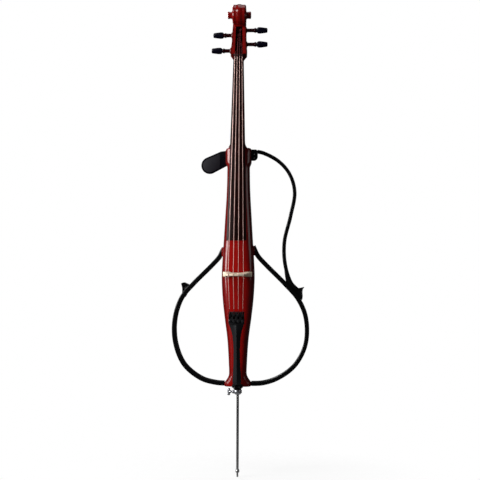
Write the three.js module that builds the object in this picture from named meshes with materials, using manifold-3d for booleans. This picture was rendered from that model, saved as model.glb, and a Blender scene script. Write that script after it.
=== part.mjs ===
// An electric "skeleton" cello: a slim solid body on a steel end pin, a full-size neck and bridge,
// and bent wooden frames that stand in for the outline of an acoustic cello.
// Units are millimetres. +Z runs up the instrument, the strings face -Y, and the origin is the
// foot of the end pin.

import * as THREE from "three";
import { LoftGeometry } from "three/addons/geometries/LoftGeometry.js";
import { mergeVertices } from "three/addons/utils/BufferGeometryUtils.js";
import Module from "manifold-3d";

const wasm = await Module();
wasm.setup();

// ---------------------------------------------------------------- driving dimensions

const GAP = 0.3; // air left between pieces that touch on the real instrument

const STRING_LENGTH = 688; // nut to bridge
const BODY_BOTTOM = 288;
const BODY_TOP = 1042;
const BODY_LENGTH = BODY_TOP - BODY_BOTTOM;
const BRIDGE_Z = 643;
const NUT_Z = BRIDGE_Z + STRING_LENGTH;

const NUT_STRING_Y = -28.5; // string plane at the nut
const BRIDGE_STRING_Y = -125; // string plane at the bridge
const STRING_SLOPE = (BRIDGE_STRING_Y - NUT_STRING_Y) / STRING_LENGTH;
const ARCH_RADIUS = 62; // crown of the fingerboard, nut and bridge

const FINGERBOARD_LENGTH = 582;
const FINGERBOARD_END_Z = NUT_Z - FINGERBOARD_LENGTH;
const FINGERBOARD_HALF = { nut: 16, end: 31.5 };
const FINGERBOARD_THICK = { nut: 9, end: 14 };
const FINGERBOARD_TOP = { nut: -26.8, end: -104 };

const BACK_SEAT_Y = 36; // flat land on the back that carries the panel and the battery door
const FRONT_SEAT_Y = -30; // flat land on the front that carries the neck root
const PAD_SEAT_Y = 31; // flat land behind the shoulder that carries the chest pad

const FRAME_Y = 6; // middle of the bent frames
const FRAME_DEPTH = 32;
const FRAME_THICK = 14;
const UPPER_FRAME_THICK = 11.5;
const FRAME_STEPS = 44; // straight pieces that stand in for each bend
const TENON = { depth: 18, high: 6, inFoot: 14, inBody: 17, inSocket: 10 };

const STRINGS = [
  { name: "c", side: -1, pegZ: 1350.4, pegY: -2, pegOut: 1, radius: 1.0 },
  { name: "g", side: -1, pegZ: 1401.5, pegY: 14.5, pegOut: -3, radius: 0.85 },
  { name: "d", side: 1, pegZ: 1418, pegY: 18.5, pegOut: 3.5, radius: 0.7 },
  { name: "a", side: 1, pegZ: 1371.6, pegY: 5, pegOut: 4.5, radius: 0.6 },
];
const SPACING = { nut: 7.3, bridge: 15.8, tail: 13.5 };

const PEG_RADIUS = 6.1;
const PEG_HOLE = { near: 6.6, far: 6.1 };

const EYE = { y: 15, z: 1465.8 }; // centre of the scroll
const ENDPIN_RADIUS = 4;

// ---------------------------------------------------------------- materials

const finish = (color, roughness, metalness) =>
  new THREE.MeshStandardMaterial({ color, roughness, metalness });

const MATERIALS = {
  varnish: finish(0x7a120c, 0.25, 0),
  ebony: finish(0x1a1210, 0.4, 0),
  maple: finish(0xe8d3b4, 0.5, 0),
  frame: finish(0x0b0b0d, 0.3, 0),
  resin: finish(0x17181b, 0.4, 0),
  rubber: finish(0x1c1c22, 0.7, 0),
  steel: finish(0xb4b4b4, 0.25, 1),
  chrome: finish(0xd8d8dc, 0.12, 1),
  string: finish(0xc9c4c0, 0.3, 1),
  board: finish(0x1d5a33, 0.6, 0),
  battery: finish(0x2f3a52, 0.4, 0.3),
};

// ---------------------------------------------------------------- solids

const vec = (x, y, z) => new THREE.Vector3(x, y, z);

const lerp = THREE.MathUtils.lerp;

// Signed volume of an indexed geometry: negative where its faces point inwards.
function signedVolume(geometry) {
  const at = (i) => new THREE.Vector3().fromBufferAttribute(geometry.attributes.position, i);
  const index = geometry.index.array;
  let volume = 0;
  for (let i = 0; i < index.length; i += 3) {
    volume += at(index[i]).dot(at(index[i + 1]).cross(at(index[i + 2]))) / 6;
  }
  return volume;
}

// A closed skin through rings of points.
function loft(rings) {
  const caps = { capStart: true, capEnd: true };
  const made = new LoftGeometry(rings, caps);
  const turned = () => new LoftGeometry(rings.map((ring) => [...ring].reverse()), caps);
  return new THREE.BufferGeometry().copy(signedVolume(made) > 0 ? made : turned());
}

function toSolid(geometry) {
  geometry.deleteAttribute("normal");
  geometry.deleteAttribute("uv");
  const merged = mergeVertices(geometry, 1e-3);
  const mesh = new wasm.Mesh({
    numProp: 3,
    vertProperties: merged.attributes.position.array,
    triVerts: new Uint32Array(merged.index.array),
  });
  return new wasm.Manifold(mesh);
}

function toGeometry(solid) {
  const mesh = solid.getMesh();
  const corners = new Float32Array(mesh.numVert * 3);
  for (let i = 0; i < mesh.numVert; i += 1) {
    corners.set(mesh.vertProperties.subarray(i * mesh.numProp, i * mesh.numProp + 3), i * 3);
  }
  const geometry = new THREE.BufferGeometry();
  geometry.setAttribute("position", new THREE.BufferAttribute(corners, 3));
  geometry.setIndex(new THREE.BufferAttribute(mesh.triVerts, 1));
  geometry.computeVertexNormals();
  return geometry;
}

const cut = (from, ...tools) => tools.reduce((left, tool) => left.subtract(tool), from);
const join = (first, ...others) => others.reduce((sum, other) => sum.add(other), first);

// A box between two corners.
function box(low, high) {
  const size = high.map((value, k) => value - low[k]);
  const middle = high.map((value, k) => (value + low[k]) / 2);
  return toSolid(new THREE.BoxGeometry(...size).translate(...middle));
}

// A cylinder or cone of a length along "x", "y" or "z", from its low end.
function rod(axis, from, length, radius, endRadius = radius, sides = 24) {
  const made = new THREE.CylinderGeometry(endRadius, radius, length, sides);
  made.translate(0, length / 2, 0);
  if (axis === "x") made.rotateZ(-Math.PI / 2);
  if (axis === "z") made.rotateX(Math.PI / 2);
  return toSolid(made.translate(...from));
}

// A profile of [radius, distance] pairs turned round an axis; it starts and ends on the axis.
function turned(axis, from, profile, sides = 24) {
  const outline = profile.map(([radius, along]) => new THREE.Vector2(radius, along));
  const made = new THREE.LatheGeometry(outline, sides);
  if (axis === "x") made.rotateZ(-Math.PI / 2);
  if (axis === "z") made.rotateX(Math.PI / 2);
  made.translate(...from);
  const indexed = mergeVertices(made.deleteAttribute("normal").deleteAttribute("uv"), 1e-3);
  if (signedVolume(indexed) < 0) {
    indexed.index.array.reverse();
  }
  return toSolid(indexed);
}

// A flat outline with holes, pushed through a depth along +Z.
function extruded(points, depth, holes = []) {
  const wound = (pairs, clockwise) => {
    const path = pairs.map(([x, y]) => new THREE.Vector2(x, y));
    return THREE.ShapeUtils.isClockWise(path) === clockwise ? path : path.reverse();
  };
  const shape = new THREE.Shape(wound(points, false));
  shape.holes = holes.map((pairs) => new THREE.Path(wound(pairs, true)));
  return new THREE.ExtrudeGeometry(shape, { depth, bevelEnabled: false });
}

// An outline in the XY plane made into a slab up Z.
const topSlab = (points, z0, z1, holes) =>
  toSolid(extruded(points, z1 - z0, holes).translate(0, 0, z0));

// An outline in the YZ plane, given as [y, z] pairs, made into a slab across X.
const sideSlab = (points, x0, x1) =>
  toSolid(extruded(points, x1 - x0).rotateY(Math.PI / 2).rotateX(Math.PI / 2).translate(x0, 0, 0));

// An outline in the XZ plane, given as [x, z] pairs, made into a slab through Y.
const frontSlab = (points, y0, y1) =>
  toSolid(extruded(points, y1 - y0).rotateX(Math.PI / 2).translate(0, y1, 0));

// Points of an arc in a plane, from one angle to another in degrees.
function arc(cx, cy, radius, fromDeg, toDeg, steps) {
  return Array.from({ length: steps + 1 }, (_, i) => {
    const angle = THREE.MathUtils.degToRad(lerp(fromDeg, toDeg, i / steps));
    return [cx + radius * Math.cos(angle), cy + radius * Math.sin(angle)];
  });
}

const mirrored = (points) => points.map(([x, z]) => [-x, z]).reverse();

const cello = new THREE.Group();

function add(name, material, solid, group = cello) {
  const geometry = solid.isBufferGeometry ? solid : toGeometry(solid);
  const mesh = new THREE.Mesh(geometry, MATERIALS[material]);
  mesh.name = name;
  group.add(mesh);
  return mesh;
}

// ---------------------------------------------------------------- body

// Half widths of the body up its length: a flared foot, a slim tail, the widest part at the
// bridge, a waist, and the square shoulders.
const BODY_PROFILE = [
  [42.5, BODY_BOTTOM],
  [42, 299],
  [33.5, 311],
  [28, 323],
  [27.4, 338],
  [28.4, 360],
  [29.8, 390],
  [33.5, 440],
  [42, 505],
  [48.5, 565],
  [51.8, 630],
  [50.2, 680],
  [46, 745],
  [41, 830],
  [37, 900],
  [35.5, 960],
  [36, 984],
  [40, 992],
  [40.8, 1015],
  [40.6, 1036],
  [38.5, BODY_TOP],
];

const alongBody = (z) => THREE.MathUtils.clamp((z - BODY_BOTTOM) / BODY_LENGTH, 0, 1);
const bodyFront = (z) => -29 - 4 * Math.sin(Math.PI * alongBody(z));
const bodyBack = (z) => 31 + 9 * Math.sqrt(Math.sin(Math.PI * alongBody(z)));

// A rounded, nearly rectangular section: the front is arched more than the back.
function bodyRing(halfWidth, z, grown) {
  const POINTS = 28;
  const front = bodyFront(z) - grown;
  const back = bodyBack(z) + grown;
  const middle = (front + back) / 2;
  const half = (back - front) / 2;
  return Array.from({ length: POINTS }, (_, i) => {
    const angle = (i / POINTS) * 2 * Math.PI;
    const [c, s] = [Math.cos(angle), Math.sin(angle)];
    const power = 2 / (s < 0 ? 3.2 : 4.5);
    const x = (halfWidth + grown) * Math.sign(c) * Math.abs(c) ** power;
    const y = middle + half * Math.sign(s) * Math.abs(s) ** power;
    return vec(x, y, z);
  });
}

const bodyShape = (grown) =>
  toSolid(loft(BODY_PROFILE.map(([halfWidth, z]) => bodyRing(halfWidth, z, grown))));

const PANEL = { half: 24, low: 757, high: 907, thick: 2.5 };
const DOOR = { half: 22, low: 655, high: 735, thick: 2.5 };
const PICKUP = { x: 34, half: 11, high: 8, seatY: -28 };
const SADDLE = { half: 16, low: 286, high: 297, front: -37, back: -23 };
const ENDPIN_BORE = { radius: 6, top: 706 };
const PLUG = { radius: 9, top: 305 };
const LOWER_TENON_Z = 296.5;
const PAD_BRACKET = { low: [-36, 1008], high: [2, 1040] };

// Where the frames plug in: three sockets on the sides, and the foot.
const SOCKET = {
  left: { side: -1, inner: 36, face: 52.5, z: 714.5, low: 698, high: 728, knobX: -40, backY: 36.6 },
  right: { side: 1, inner: 36, face: 53, z: 719.5, low: 702, high: 733, knobX: 40, backY: 36.6 },
  shoulder: { side: 1, inner: 30, face: 60, z: 1030, low: 1003, high: 1037.5, knobX: 53.5, backY: 22 },
};

// A slot for a tenon, from one distance from the middle to another.
function mortise(side, inner, outer, z) {
  const [a, b] = [side * inner, side * outer];
  const [deep, high] = [TENON.depth / 2 + GAP, TENON.high / 2 + GAP];
  return box([Math.min(a, b), FRAME_Y - deep, z - high], [Math.max(a, b), FRAME_Y + deep, z + high]);
}

const knobHole = ({ knobX, z }) => rod("y", [knobX, FRAME_Y, z], 60, 2.8, 2.8, 16);

function pickupSeat(side) {
  const x = side * PICKUP.x;
  const reach = PICKUP.half + GAP;
  return box([x - reach, -60, BRIDGE_Z - PICKUP.high - GAP], [x + reach, PICKUP.seatY, BRIDGE_Z + PICKUP.high + GAP]);
}

const body = cut(
  bodyShape(0),
  rod("z", [0, 0, BODY_BOTTOM - 5], ENDPIN_BORE.top - BODY_BOTTOM + 5, ENDPIN_BORE.radius),
  rod("z", [0, 0, BODY_BOTTOM - 5], PLUG.top - BODY_BOTTOM + 6, PLUG.radius + 0.4),
  box([-60, BACK_SEAT_Y, 585], [60, 80, 912]), // land for the panel and the sliding door
  box([-20, 12, 765], [20, 60, 900]), // electronics pocket
  box([-18, 18.5, 664], [18, 60, 726]), // battery pocket
  box([-60, -80, 940], [60, FRONT_SEAT_Y, BODY_TOP + 5]), // seat of the neck root
  box([PAD_BRACKET.low[0] - 2, PAD_SEAT_Y, 1004], [60, 60, BODY_TOP + 5]), // seat of the pad bracket
  box([-SADDLE.half - GAP, -60, BODY_BOTTOM - 5], [SADDLE.half + GAP, SADDLE.back + GAP, SADDLE.high + GAP]),
  pickupSeat(-1),
  pickupSeat(1),
  mortise(-1, 41 - TENON.inFoot, 60, LOWER_TENON_Z),
  mortise(1, 41 - TENON.inFoot, 60, LOWER_TENON_Z),
  mortise(-1, 34, 60, SOCKET.left.z),
  mortise(1, 34, 60, SOCKET.right.z),
  knobHole(SOCKET.left),
  knobHole(SOCKET.right),
);
add("body", "varnish", body);

// ---------------------------------------------------------------- fingerboard, nut and neck

const alongBoard = (z) => (NUT_Z - z) / FINGERBOARD_LENGTH;
const boardHalf = (z) => lerp(FINGERBOARD_HALF.nut, FINGERBOARD_HALF.end, alongBoard(z));
const boardTop = (z) => lerp(FINGERBOARD_TOP.nut, FINGERBOARD_TOP.end, alongBoard(z));
const boardUnder = (z) =>
  boardTop(z) + lerp(FINGERBOARD_THICK.nut, FINGERBOARD_THICK.end, alongBoard(z));
const sagitta = (x) => ARCH_RADIUS - Math.sqrt(ARCH_RADIUS ** 2 - x ** 2);

const NECK_ROOT_END = 962; // below this the fingerboard stands free and is hollowed underneath

function boardRing(z, hollow) {
  const TOP_POINTS = 9;
  const UNDER_POINTS = 7;
  const half = boardHalf(z);
  const across = (i, count) => lerp(-1, 1, i / (count - 1));
  const top = Array.from({ length: TOP_POINTS }, (_, i) => {
    const x = half * across(i, TOP_POINTS);
    return vec(x, boardTop(z) + sagitta(x), z);
  });
  const under = Array.from({ length: UNDER_POINTS }, (_, i) => {
    const share = across(UNDER_POINTS - 1 - i, UNDER_POINTS);
    return vec(half * 0.97 * share, boardUnder(z) - hollow * (1 - share ** 2), z);
  });
  return [...top, ...under];
}

const boardStations = [NUT_Z - GAP, 1200, 1080, NECK_ROOT_END].map((z) => boardRing(z, 0));
const hollowStations = [NECK_ROOT_END - 12, 850, FINGERBOARD_END_Z].map((z) => boardRing(z, 5));
add("fingerboard", "ebony", loft([...boardStations, ...hollowStations]));

const NUT = { half: 16, deep: 7, seatY: boardUnder(NUT_Z) };
const PEGBOX_START = NUT_Z + NUT.deep + 2 * GAP;
const nutCrown = arc(0, NUT_STRING_Y + 1.3 + ARCH_RADIUS, ARCH_RADIUS, -105, -75, 8);
const nutOutline = [...nutCrown, [NUT.half, NUT.seatY], [-NUT.half, NUT.seatY]];
add("nut", "ebony", topSlab(nutOutline, NUT_Z + GAP, NUT_Z + GAP + NUT.deep));

// The neck behind the fingerboard: flat in front, round behind, swelling into the heel.
const HEEL_START = 1068;
const HEEL_HALF = 29;

function neckRing(z) {
  const POINTS = 13;
  const rise = THREE.MathUtils.clamp((HEEL_START - z) / (HEEL_START - BODY_TOP), 0, 1) ** 2.2;
  const front = boardUnder(z) + GAP;
  const depth = lerp(lerp(18, 22, alongBoard(z) * 2), PAD_SEAT_Y - 1 - front, rise);
  const half = lerp(boardHalf(z), HEEL_HALF, rise ** 2);
  const back = Array.from({ length: POINTS }, (_, i) => {
    const angle = (i / (POINTS - 1)) * Math.PI;
    const power = lerp(1, 0.6, rise);
    const x = half * Math.sign(Math.cos(angle)) * Math.abs(Math.cos(angle)) ** power;
    return vec(x, front + depth * Math.sin(angle) ** power, z);
  });
  return [...back, vec(-half * 0.5, front, z), vec(half * 0.5, front, z)];
}

const neckStations = [1326, 1290, 1200, 1130, HEEL_START, 1061, 1055, 1048, BODY_TOP + GAP];
const neckShaft = toSolid(loft(neckStations.map(neckRing)));

// The root runs down the front of the body and carries the fingerboard on a hollow curve.
const rootCurve = new THREE.QuadraticBezierCurve(
  new THREE.Vector2(FRONT_SEAT_Y - GAP, 1008),
  new THREE.Vector2(FRONT_SEAT_Y - 14, 985),
  new THREE.Vector2(boardUnder(NECK_ROOT_END) + GAP, NECK_ROOT_END),
);
const rootOutline = [
  [boardUnder(1048) + GAP, 1048],
  [FRONT_SEAT_Y - GAP, 1048],
  ...rootCurve.getPoints(5).map((p) => [p.x, p.y]),
];
const neckRoot = sideSlab(rootOutline, -21.5, 21.5);

// The scroll's outer turn is a spiral round the eye; its radius shrinks as it winds forwards.
function volute(fromDeg, toDeg, steps) {
  return Array.from({ length: steps + 1 }, (_, i) => {
    const degrees = lerp(fromDeg, toDeg, i / steps);
    const radius = 38 * 0.93 ** (degrees / 90);
    const angle = THREE.MathUtils.degToRad(degrees);
    return [EYE.y + radius * Math.cos(angle), EYE.z + radius * Math.sin(angle)];
  });
}

const headSide = [
  [boardUnder(1318) + GAP, 1318],
  [NUT.seatY + GAP, NUT_Z],
  [NUT.seatY + GAP, PEGBOX_START],
  [-23.5, PEGBOX_START],
  [6, 1427],
  [14, 1431.5],
  ...volute(260, 0, 18),
  [46, 1430],
  [36, 1395],
  [25, 1360],
  [16, 1339],
  [8, 1330],
  [2, 1318],
];

const headFront = [
  [16.4, 1318],
  [16.4, 1320],
  [25.3, 1332],
  [25.3, 1350],
  [22.6, 1376],
  [21.4, 1414],
  [20, 1433],
  [20.5, 1494.5],
  [13, 1498],
  [13, 1510],
];

const cavitySide = [
  [-60, PEGBOX_START],
  [-17, PEGBOX_START],
  [-10, 1341],
  [6, 1342],
  [12, 1352],
  [28, 1400],
  [31, 1418],
  [30, 1426],
  [-60, 1426],
];

const cavityFront = [
  [13, 1335],
  [11.5, 1385],
  [10.5, 1430],
];

// A peg passes through both cheeks; a low boss stands round it where it enters.
function pegHoles({ side, pegZ, pegY }) {
  const near = side < 0 ? [-60, 60] : [0, 60];
  const far = side < 0 ? [0, 60] : [-60, 60];
  return [
    rod("x", [near[0], pegY, pegZ], near[1], PEG_HOLE.near, PEG_HOLE.near, 32),
    rod("x", [far[0], pegY, pegZ], far[1], PEG_HOLE.far, PEG_HOLE.far, 32),
  ];
}

const cheekHalf = (z) => (z < 1376 ? lerp(25.3, 22.6, (z - 1350) / 26) : lerp(22.6, 21.4, (z - 1376) / 38));

function pegBoss({ side, pegZ, pegY }) {
  const [start, end] = [cheekHalf(pegZ) - 3, cheekHalf(pegZ) + 3];
  return side < 0
    ? rod("x", [-end, pegY, pegZ], end - start, 8.6, 10.5)
    : rod("x", [start, pegY, pegZ], end - start, 10.5, 8.6);
}

const headBlock = sideSlab(headSide, -30, 30).intersect(
  frontSlab([...headFront, ...mirrored(headFront)], -40, 80),
);
const cavity = sideSlab(cavitySide, -15, 15).intersect(
  frontSlab([...cavityFront, ...mirrored(cavityFront)], -60, 60),
);
const innerTurn = rod("x", [-23.5, EYE.y, EYE.z], 47, 15.5, 15.5, 28);
const eye = rod("x", [-37.2, EYE.y, EYE.z], 74.4, 11.7, 11.7, 24);

const neck = cut(
  join(neckShaft, neckRoot, headBlock, innerTurn, eye, ...STRINGS.map(pegBoss)),
  cavity,
  ...STRINGS.flatMap(pegHoles),
);
add("neck", "varnish", neck);

// ---------------------------------------------------------------- pegs

// [distance from the middle, half height, half thickness] from the shaft to the thumb piece.
const PEG_STATIONS = [
  [44, PEG_RADIUS, PEG_RADIUS],
  [45, 8, 8],
  [49, 8.2, 8.2],
  [51, 5.6, 5.6],
  [55, 7.5, 6],
  [58, 10, 6.6],
  [65, 10.4, 6.8],
  [78, 8, 5.8],
  [84, 6.6, 4.8],
  [86, 4.6, 3.2],
];

function pegRing([distance, high, thick], { side, pegZ, pegY, pegOut }) {
  const POINTS = 12;
  return Array.from({ length: POINTS }, (_, i) => {
    const angle = (i / POINTS) * 2 * Math.PI;
    return vec(side * (distance + pegOut), pegY + thick * Math.sin(angle), pegZ + high * Math.cos(angle));
  });
}

for (const string of STRINGS) {
  const smallEnd = [-cheekHalf(string.pegZ) - string.pegOut, 5.2, 5.2];
  const rings = [smallEnd, ...PEG_STATIONS].map((station) => pegRing(station, string));
  add(`peg_${string.name}`, "ebony", loft(rings));
}

// ---------------------------------------------------------------- bridge and pickups

const FOOT_Y = PICKUP.seatY - 4; // underside of the bridge's feet
const crownY = BRIDGE_STRING_Y + 1.0 + 2 * GAP;

// Outline in the XY plane: feet and arch below, waist, and the crown under the strings.
function bridgeOutline() {
  const crown = arc(0, crownY + ARCH_RADIUS, ARCH_RADIUS, -65, -115, 10);
  const left = [
    [-30, crownY + 12],
    [-33, -98],
    [-29, -84],
    [-36, -72],
    [-39, -62],
    [-36, -50],
    [-38, -42],
    [-46, -37],
    [-46, FOOT_Y],
    [-23, FOOT_Y],
    [-22, -38],
    [-19, -48],
    [-10, -56],
    [0, -59],
  ];
  return [...crown, ...left, ...mirrored(left).slice(1)];
}

const heart = [
  [0, -72],
  [7, -79],
  [9, -86],
  [4, -90],
  [0, -86],
  [-4, -90],
  [-9, -86],
  [-7, -79],
];
const kidney = [
  [17, -80],
  [23, -84],
  [24, -92],
  [19, -97],
  [15, -93],
  [18, -88],
];

const bridgeTaper = [
  [FOOT_Y + 5, BRIDGE_Z - 8],
  [FOOT_Y + 5, BRIDGE_Z + 8],
  [FOOT_Y - 6, BRIDGE_Z + 7.5],
  [FOOT_Y - 14, BRIDGE_Z + 6.2],
  [-140, BRIDGE_Z + 1.8],
  [-140, BRIDGE_Z - 1.8],
  [FOOT_Y - 14, BRIDGE_Z - 6.2],
  [FOOT_Y - 6, BRIDGE_Z - 7.5],
];
const bridgeHoles = [heart, kidney, mirrored(kidney)];
const bridge = topSlab(bridgeOutline(), BRIDGE_Z - 9, BRIDGE_Z + 9, bridgeHoles).intersect(
  sideSlab(bridgeTaper, -60, 60),
);
add("bridge", "maple", bridge);

for (const [name, side] of [["bass", -1], ["treble", 1]]) {
  const x = side * PICKUP.x;
  const plate = box(
    [x - PICKUP.half, FOOT_Y + GAP, BRIDGE_Z - PICKUP.high],
    [x + PICKUP.half, PICKUP.seatY - GAP, BRIDGE_Z + PICKUP.high],
  );
  add(`pickup_${name}`, "steel", plate);
}

// ---------------------------------------------------------------- tailpiece and fine tuners

// The tailpiece is modelled upright in its own frame, with its top end at z = 0, and leans
// towards the saddle.
const TAIL = { length: 233, lean: 9.65, pin: [-1.5, -10], screwZ: -27, floor: 3.2 };
const tailpieceFrame = new THREE.Group();
tailpieceFrame.position.set(0, -84, 527);
tailpieceFrame.rotation.x = THREE.MathUtils.degToRad(TAIL.lean);
tailpieceFrame.updateMatrixWorld(true);
cello.add(tailpieceFrame);

// [distance down, half width, height of the ridge in front, height of the front edges]
const TAIL_STATIONS = [
  [0, 24.5, 9, 7],
  [-38, 24.5, 10, 7],
  [-48, 21.5, 10.5, 4],
  [-75, 13.5, 10.5, 1],
  [-115, 10.5, 10, 1],
  [-180, 11, 9, 1],
  [-222, 14, 8, 1],
  [-TAIL.length, 13, 6, 0.5],
];

const tailRing = ([z, half, ridge, edge]) => [
  vec(half, 6, z),
  vec(half, -edge * 0.6, z),
  vec(half * 0.86, -edge, z),
  vec(half * 0.4, -lerp(edge, ridge, 0.62), z),
  vec(0, -ridge, z),
  vec(-half * 0.4, -lerp(edge, ridge, 0.62), z),
  vec(-half * 0.86, -edge, z),
  vec(-half, -edge * 0.6, z),
  vec(-half, 6, z),
];

const tailX = (i) => (i - 1.5) * SPACING.tail;

function tunerSlots(i) {
  const x = tailX(i);
  return [
    box([x - 3.4, -20, -21], [x + 3.4, TAIL.floor, 5]),
    box([x - 3.4, -3.6, -37], [x + 3.4, TAIL.floor, -20]),
    rod("y", [x, -20, TAIL.screwZ], 18, 2.6, 2.6, 16),
  ];
}

const gutHoles = [-6, 6].map((x) => rod("z", [x, 1, -TAIL.length - 5], 17, 1.9, 1.9, 12));
const axleHole = rod("x", [-23, TAIL.pin[0], TAIL.pin[1]], 46, 1.6, 1.6, 12);
const tailpiece = cut(
  toSolid(loft(TAIL_STATIONS.map(tailRing))),
  ...[0, 1, 2, 3].flatMap(tunerSlots),
  ...gutHoles,
  axleHole,
);
add("tailpiece", "resin", tailpiece, tailpieceFrame);
add("tuner_axle", "steel", rod("x", [-22.5, ...TAIL.pin], 45, 1.25, 1.25, 12), tailpieceFrame);

// Each lever rocks on the axle: the hook in front holds the string, the tail lies under the screw.
const leverSide = [
  [-11.5, -12],
  [-11.5, -5],
  [-8, -5],
  [-5, -7],
  [-1.5, -6.2],
  [1.8, -8.5],
  [2.2, -11.5],
  [0.6, -14],
  [-0.4, -33],
  [-2.7, -33],
  [-3, -21.5],
  [-5, -14],
  [-8, -12],
];

STRINGS.forEach(({ name }, i) => {
  const x = tailX(i);
  const lever = cut(
    sideSlab(leverSide, x - 3, x + 3),
    rod("x", [x - 5, ...TAIL.pin], 10, 1.6, 1.6, 12),
  );
  add(`tuner_lever_${name}`, "resin", lever, tailpieceFrame);
  const screw = turned("y", [x, -18, TAIL.screwZ], [
    [0, 0],
    [3.8, 0],
    [4.6, 0.8],
    [4.6, 5],
    [3.8, 6],
    [2.2, 6.5],
    [2.2, 14.9],
    [0, 14.9],
  ], 16);
  add(`tuner_screw_${name}`, "resin", screw, tailpieceFrame);
});

// ---------------------------------------------------------------- strings and tail gut

// A round cord through points, with a ring in the mitre plane of each bend.
function cord(points, radius, sides = 8) {
  const directions = points.slice(1).map((p, i) => p.clone().sub(points[i]).normalize());
  const rings = points.map((point, i) => {
    const into = directions[Math.max(i - 1, 0)];
    const out = directions[Math.min(i, directions.length - 1)];
    const along = into.clone().add(out).normalize();
    const across = vec(0, 0, 1).cross(along).lengthSq() > 0.05 ? vec(0, 0, 1) : vec(1, 0, 0);
    const u = across.clone().cross(along).normalize();
    const v = along.clone().cross(u);
    return Array.from({ length: sides }, (_, k) => {
      const angle = (k / sides) * 2 * Math.PI;
      return point
        .clone()
        .addScaledVector(u, radius * Math.cos(angle))
        .addScaledVector(v, radius * Math.sin(angle));
    });
  });
  return loft(rings);
}

const stringX = (i, spacing) => (i - 1.5) * spacing;

STRINGS.forEach(({ name, pegZ, pegY, radius }, i) => {
  const hook = vec(tailX(i), -9.6, -5 + GAP).applyMatrix4(tailpieceFrame.matrixWorld);
  const bridgeX = stringX(i, SPACING.bridge);
  const nutX = stringX(i, SPACING.nut);
  const path = [
    hook,
    vec(bridgeX, BRIDGE_STRING_Y + sagitta(bridgeX), BRIDGE_Z),
    vec(nutX, NUT_STRING_Y + sagitta(nutX), PEGBOX_START + 1),
    vec(nutX * 0.85, pegY - PEG_RADIUS - radius - GAP, pegZ + 1),
  ];
  add(`string_${name}`, "string", cord(path, radius, 6));
});

const gutTop = (x) => vec(x, 1, -TAIL.length + 11).applyMatrix4(tailpieceFrame.matrixWorld);
const gutHalf = [
  gutTop(6),
  vec(6, 1, -TAIL.length - 1).applyMatrix4(tailpieceFrame.matrixWorld),
  vec(7, SADDLE.front - 1.7, 292),
  vec(7.5, SADDLE.front - 1.7, 285),
  vec(9, SADDLE.front + 1.5, 283.5),
  vec(15, -3, 284),
  vec(14.2, 8, 284),
  vec(8.5, 14, 284),
];
const gutPath = [...gutHalf, ...[...gutHalf].reverse().map((p) => vec(-p.x, p.y, p.z))];
add("tailgut", "resin", cord(gutPath, 1.25));

add("saddle", "ebony", sideSlab([
  [SADDLE.back, SADDLE.low],
  [SADDLE.front + 2, SADDLE.low],
  [SADDLE.front, SADDLE.low + 2],
  [SADDLE.front, SADDLE.high - 5],
  [SADDLE.front + 5, SADDLE.high],
  [SADDLE.back, SADDLE.high],
], -SADDLE.half, SADDLE.half));

// ---------------------------------------------------------------- end pin

const CLAMP = { low: 261, high: 276.5, screwZ: 270, radius: 13 };

const plugProfile = [
  [0, CLAMP.high + GAP],
  [11, CLAMP.high + GAP],
  [12.2, 281.2],
  [12.2, 286.4],
  [15, BODY_BOTTOM - GAP],
  [PLUG.radius, BODY_BOTTOM - GAP],
  [PLUG.radius - 0.5, PLUG.top],
  [0, PLUG.top],
];
const endpinHole = (low, high) => rod("z", [0, 0, low], high - low, ENDPIN_RADIUS + 0.4);
add("endpin_plug", "ebony", cut(turned("z", [0, 0, 0], plugProfile), endpinHole(250, 320)));

const clampProfile = [
  [0, CLAMP.low],
  [7, CLAMP.low],
  [CLAMP.radius, CLAMP.low + 6],
  [CLAMP.radius, CLAMP.high - 1.5],
  [CLAMP.radius - 1.5, CLAMP.high],
  [0, CLAMP.high],
];
const clampBoss = rod("x", [-17, 0, CLAMP.screwZ], 10, 5, 6);
const clamp = cut(
  join(turned("z", [0, 0, 0], clampProfile), clampBoss),
  endpinHole(250, 290),
  rod("x", [-30, 0, CLAMP.screwZ], 26, 2.9, 2.9, 20),
);
add("endpin_clamp", "chrome", clamp);

// The thumb screw: a wing across the end of a short stem.
const screwStem = turned("x", [0, 0, CLAMP.screwZ], [
  [0, -27],
  [2.5, -27],
  [5, -23],
  [2.5, -19.5],
  [2.4, -4.35],
  [0, -4.35],
], 16);
const wing = turned("z", [-28.5, 0, CLAMP.screwZ], [
  [0, -11.5],
  [3.4, -10.8],
  [4.4, -7],
  [4, 0],
  [4.4, 7],
  [3.4, 10.8],
  [0, 11.5],
], 16);
add("endpin_screw", "chrome", join(screwStem, wing));

add("endpin_rod", "steel", rod("z", [0, 0, 25], 455, ENDPIN_RADIUS));
add("endpin_ferrule", "steel", turned("z", [0, 0, 0], [
  [0, 13.3],
  [4, 13.3],
  [6.2, 15.5],
  [6.2, 22],
  [4.5, 24.7],
  [0, 24.7],
], 20));
add("endpin_point", "steel", turned("z", [0, 0, 0], [
  [0, 0],
  [2.4, 0],
  [2.9, 1],
  [2.9, 13],
  [0, 13],
], 16));

// ---------------------------------------------------------------- bent frames

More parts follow.
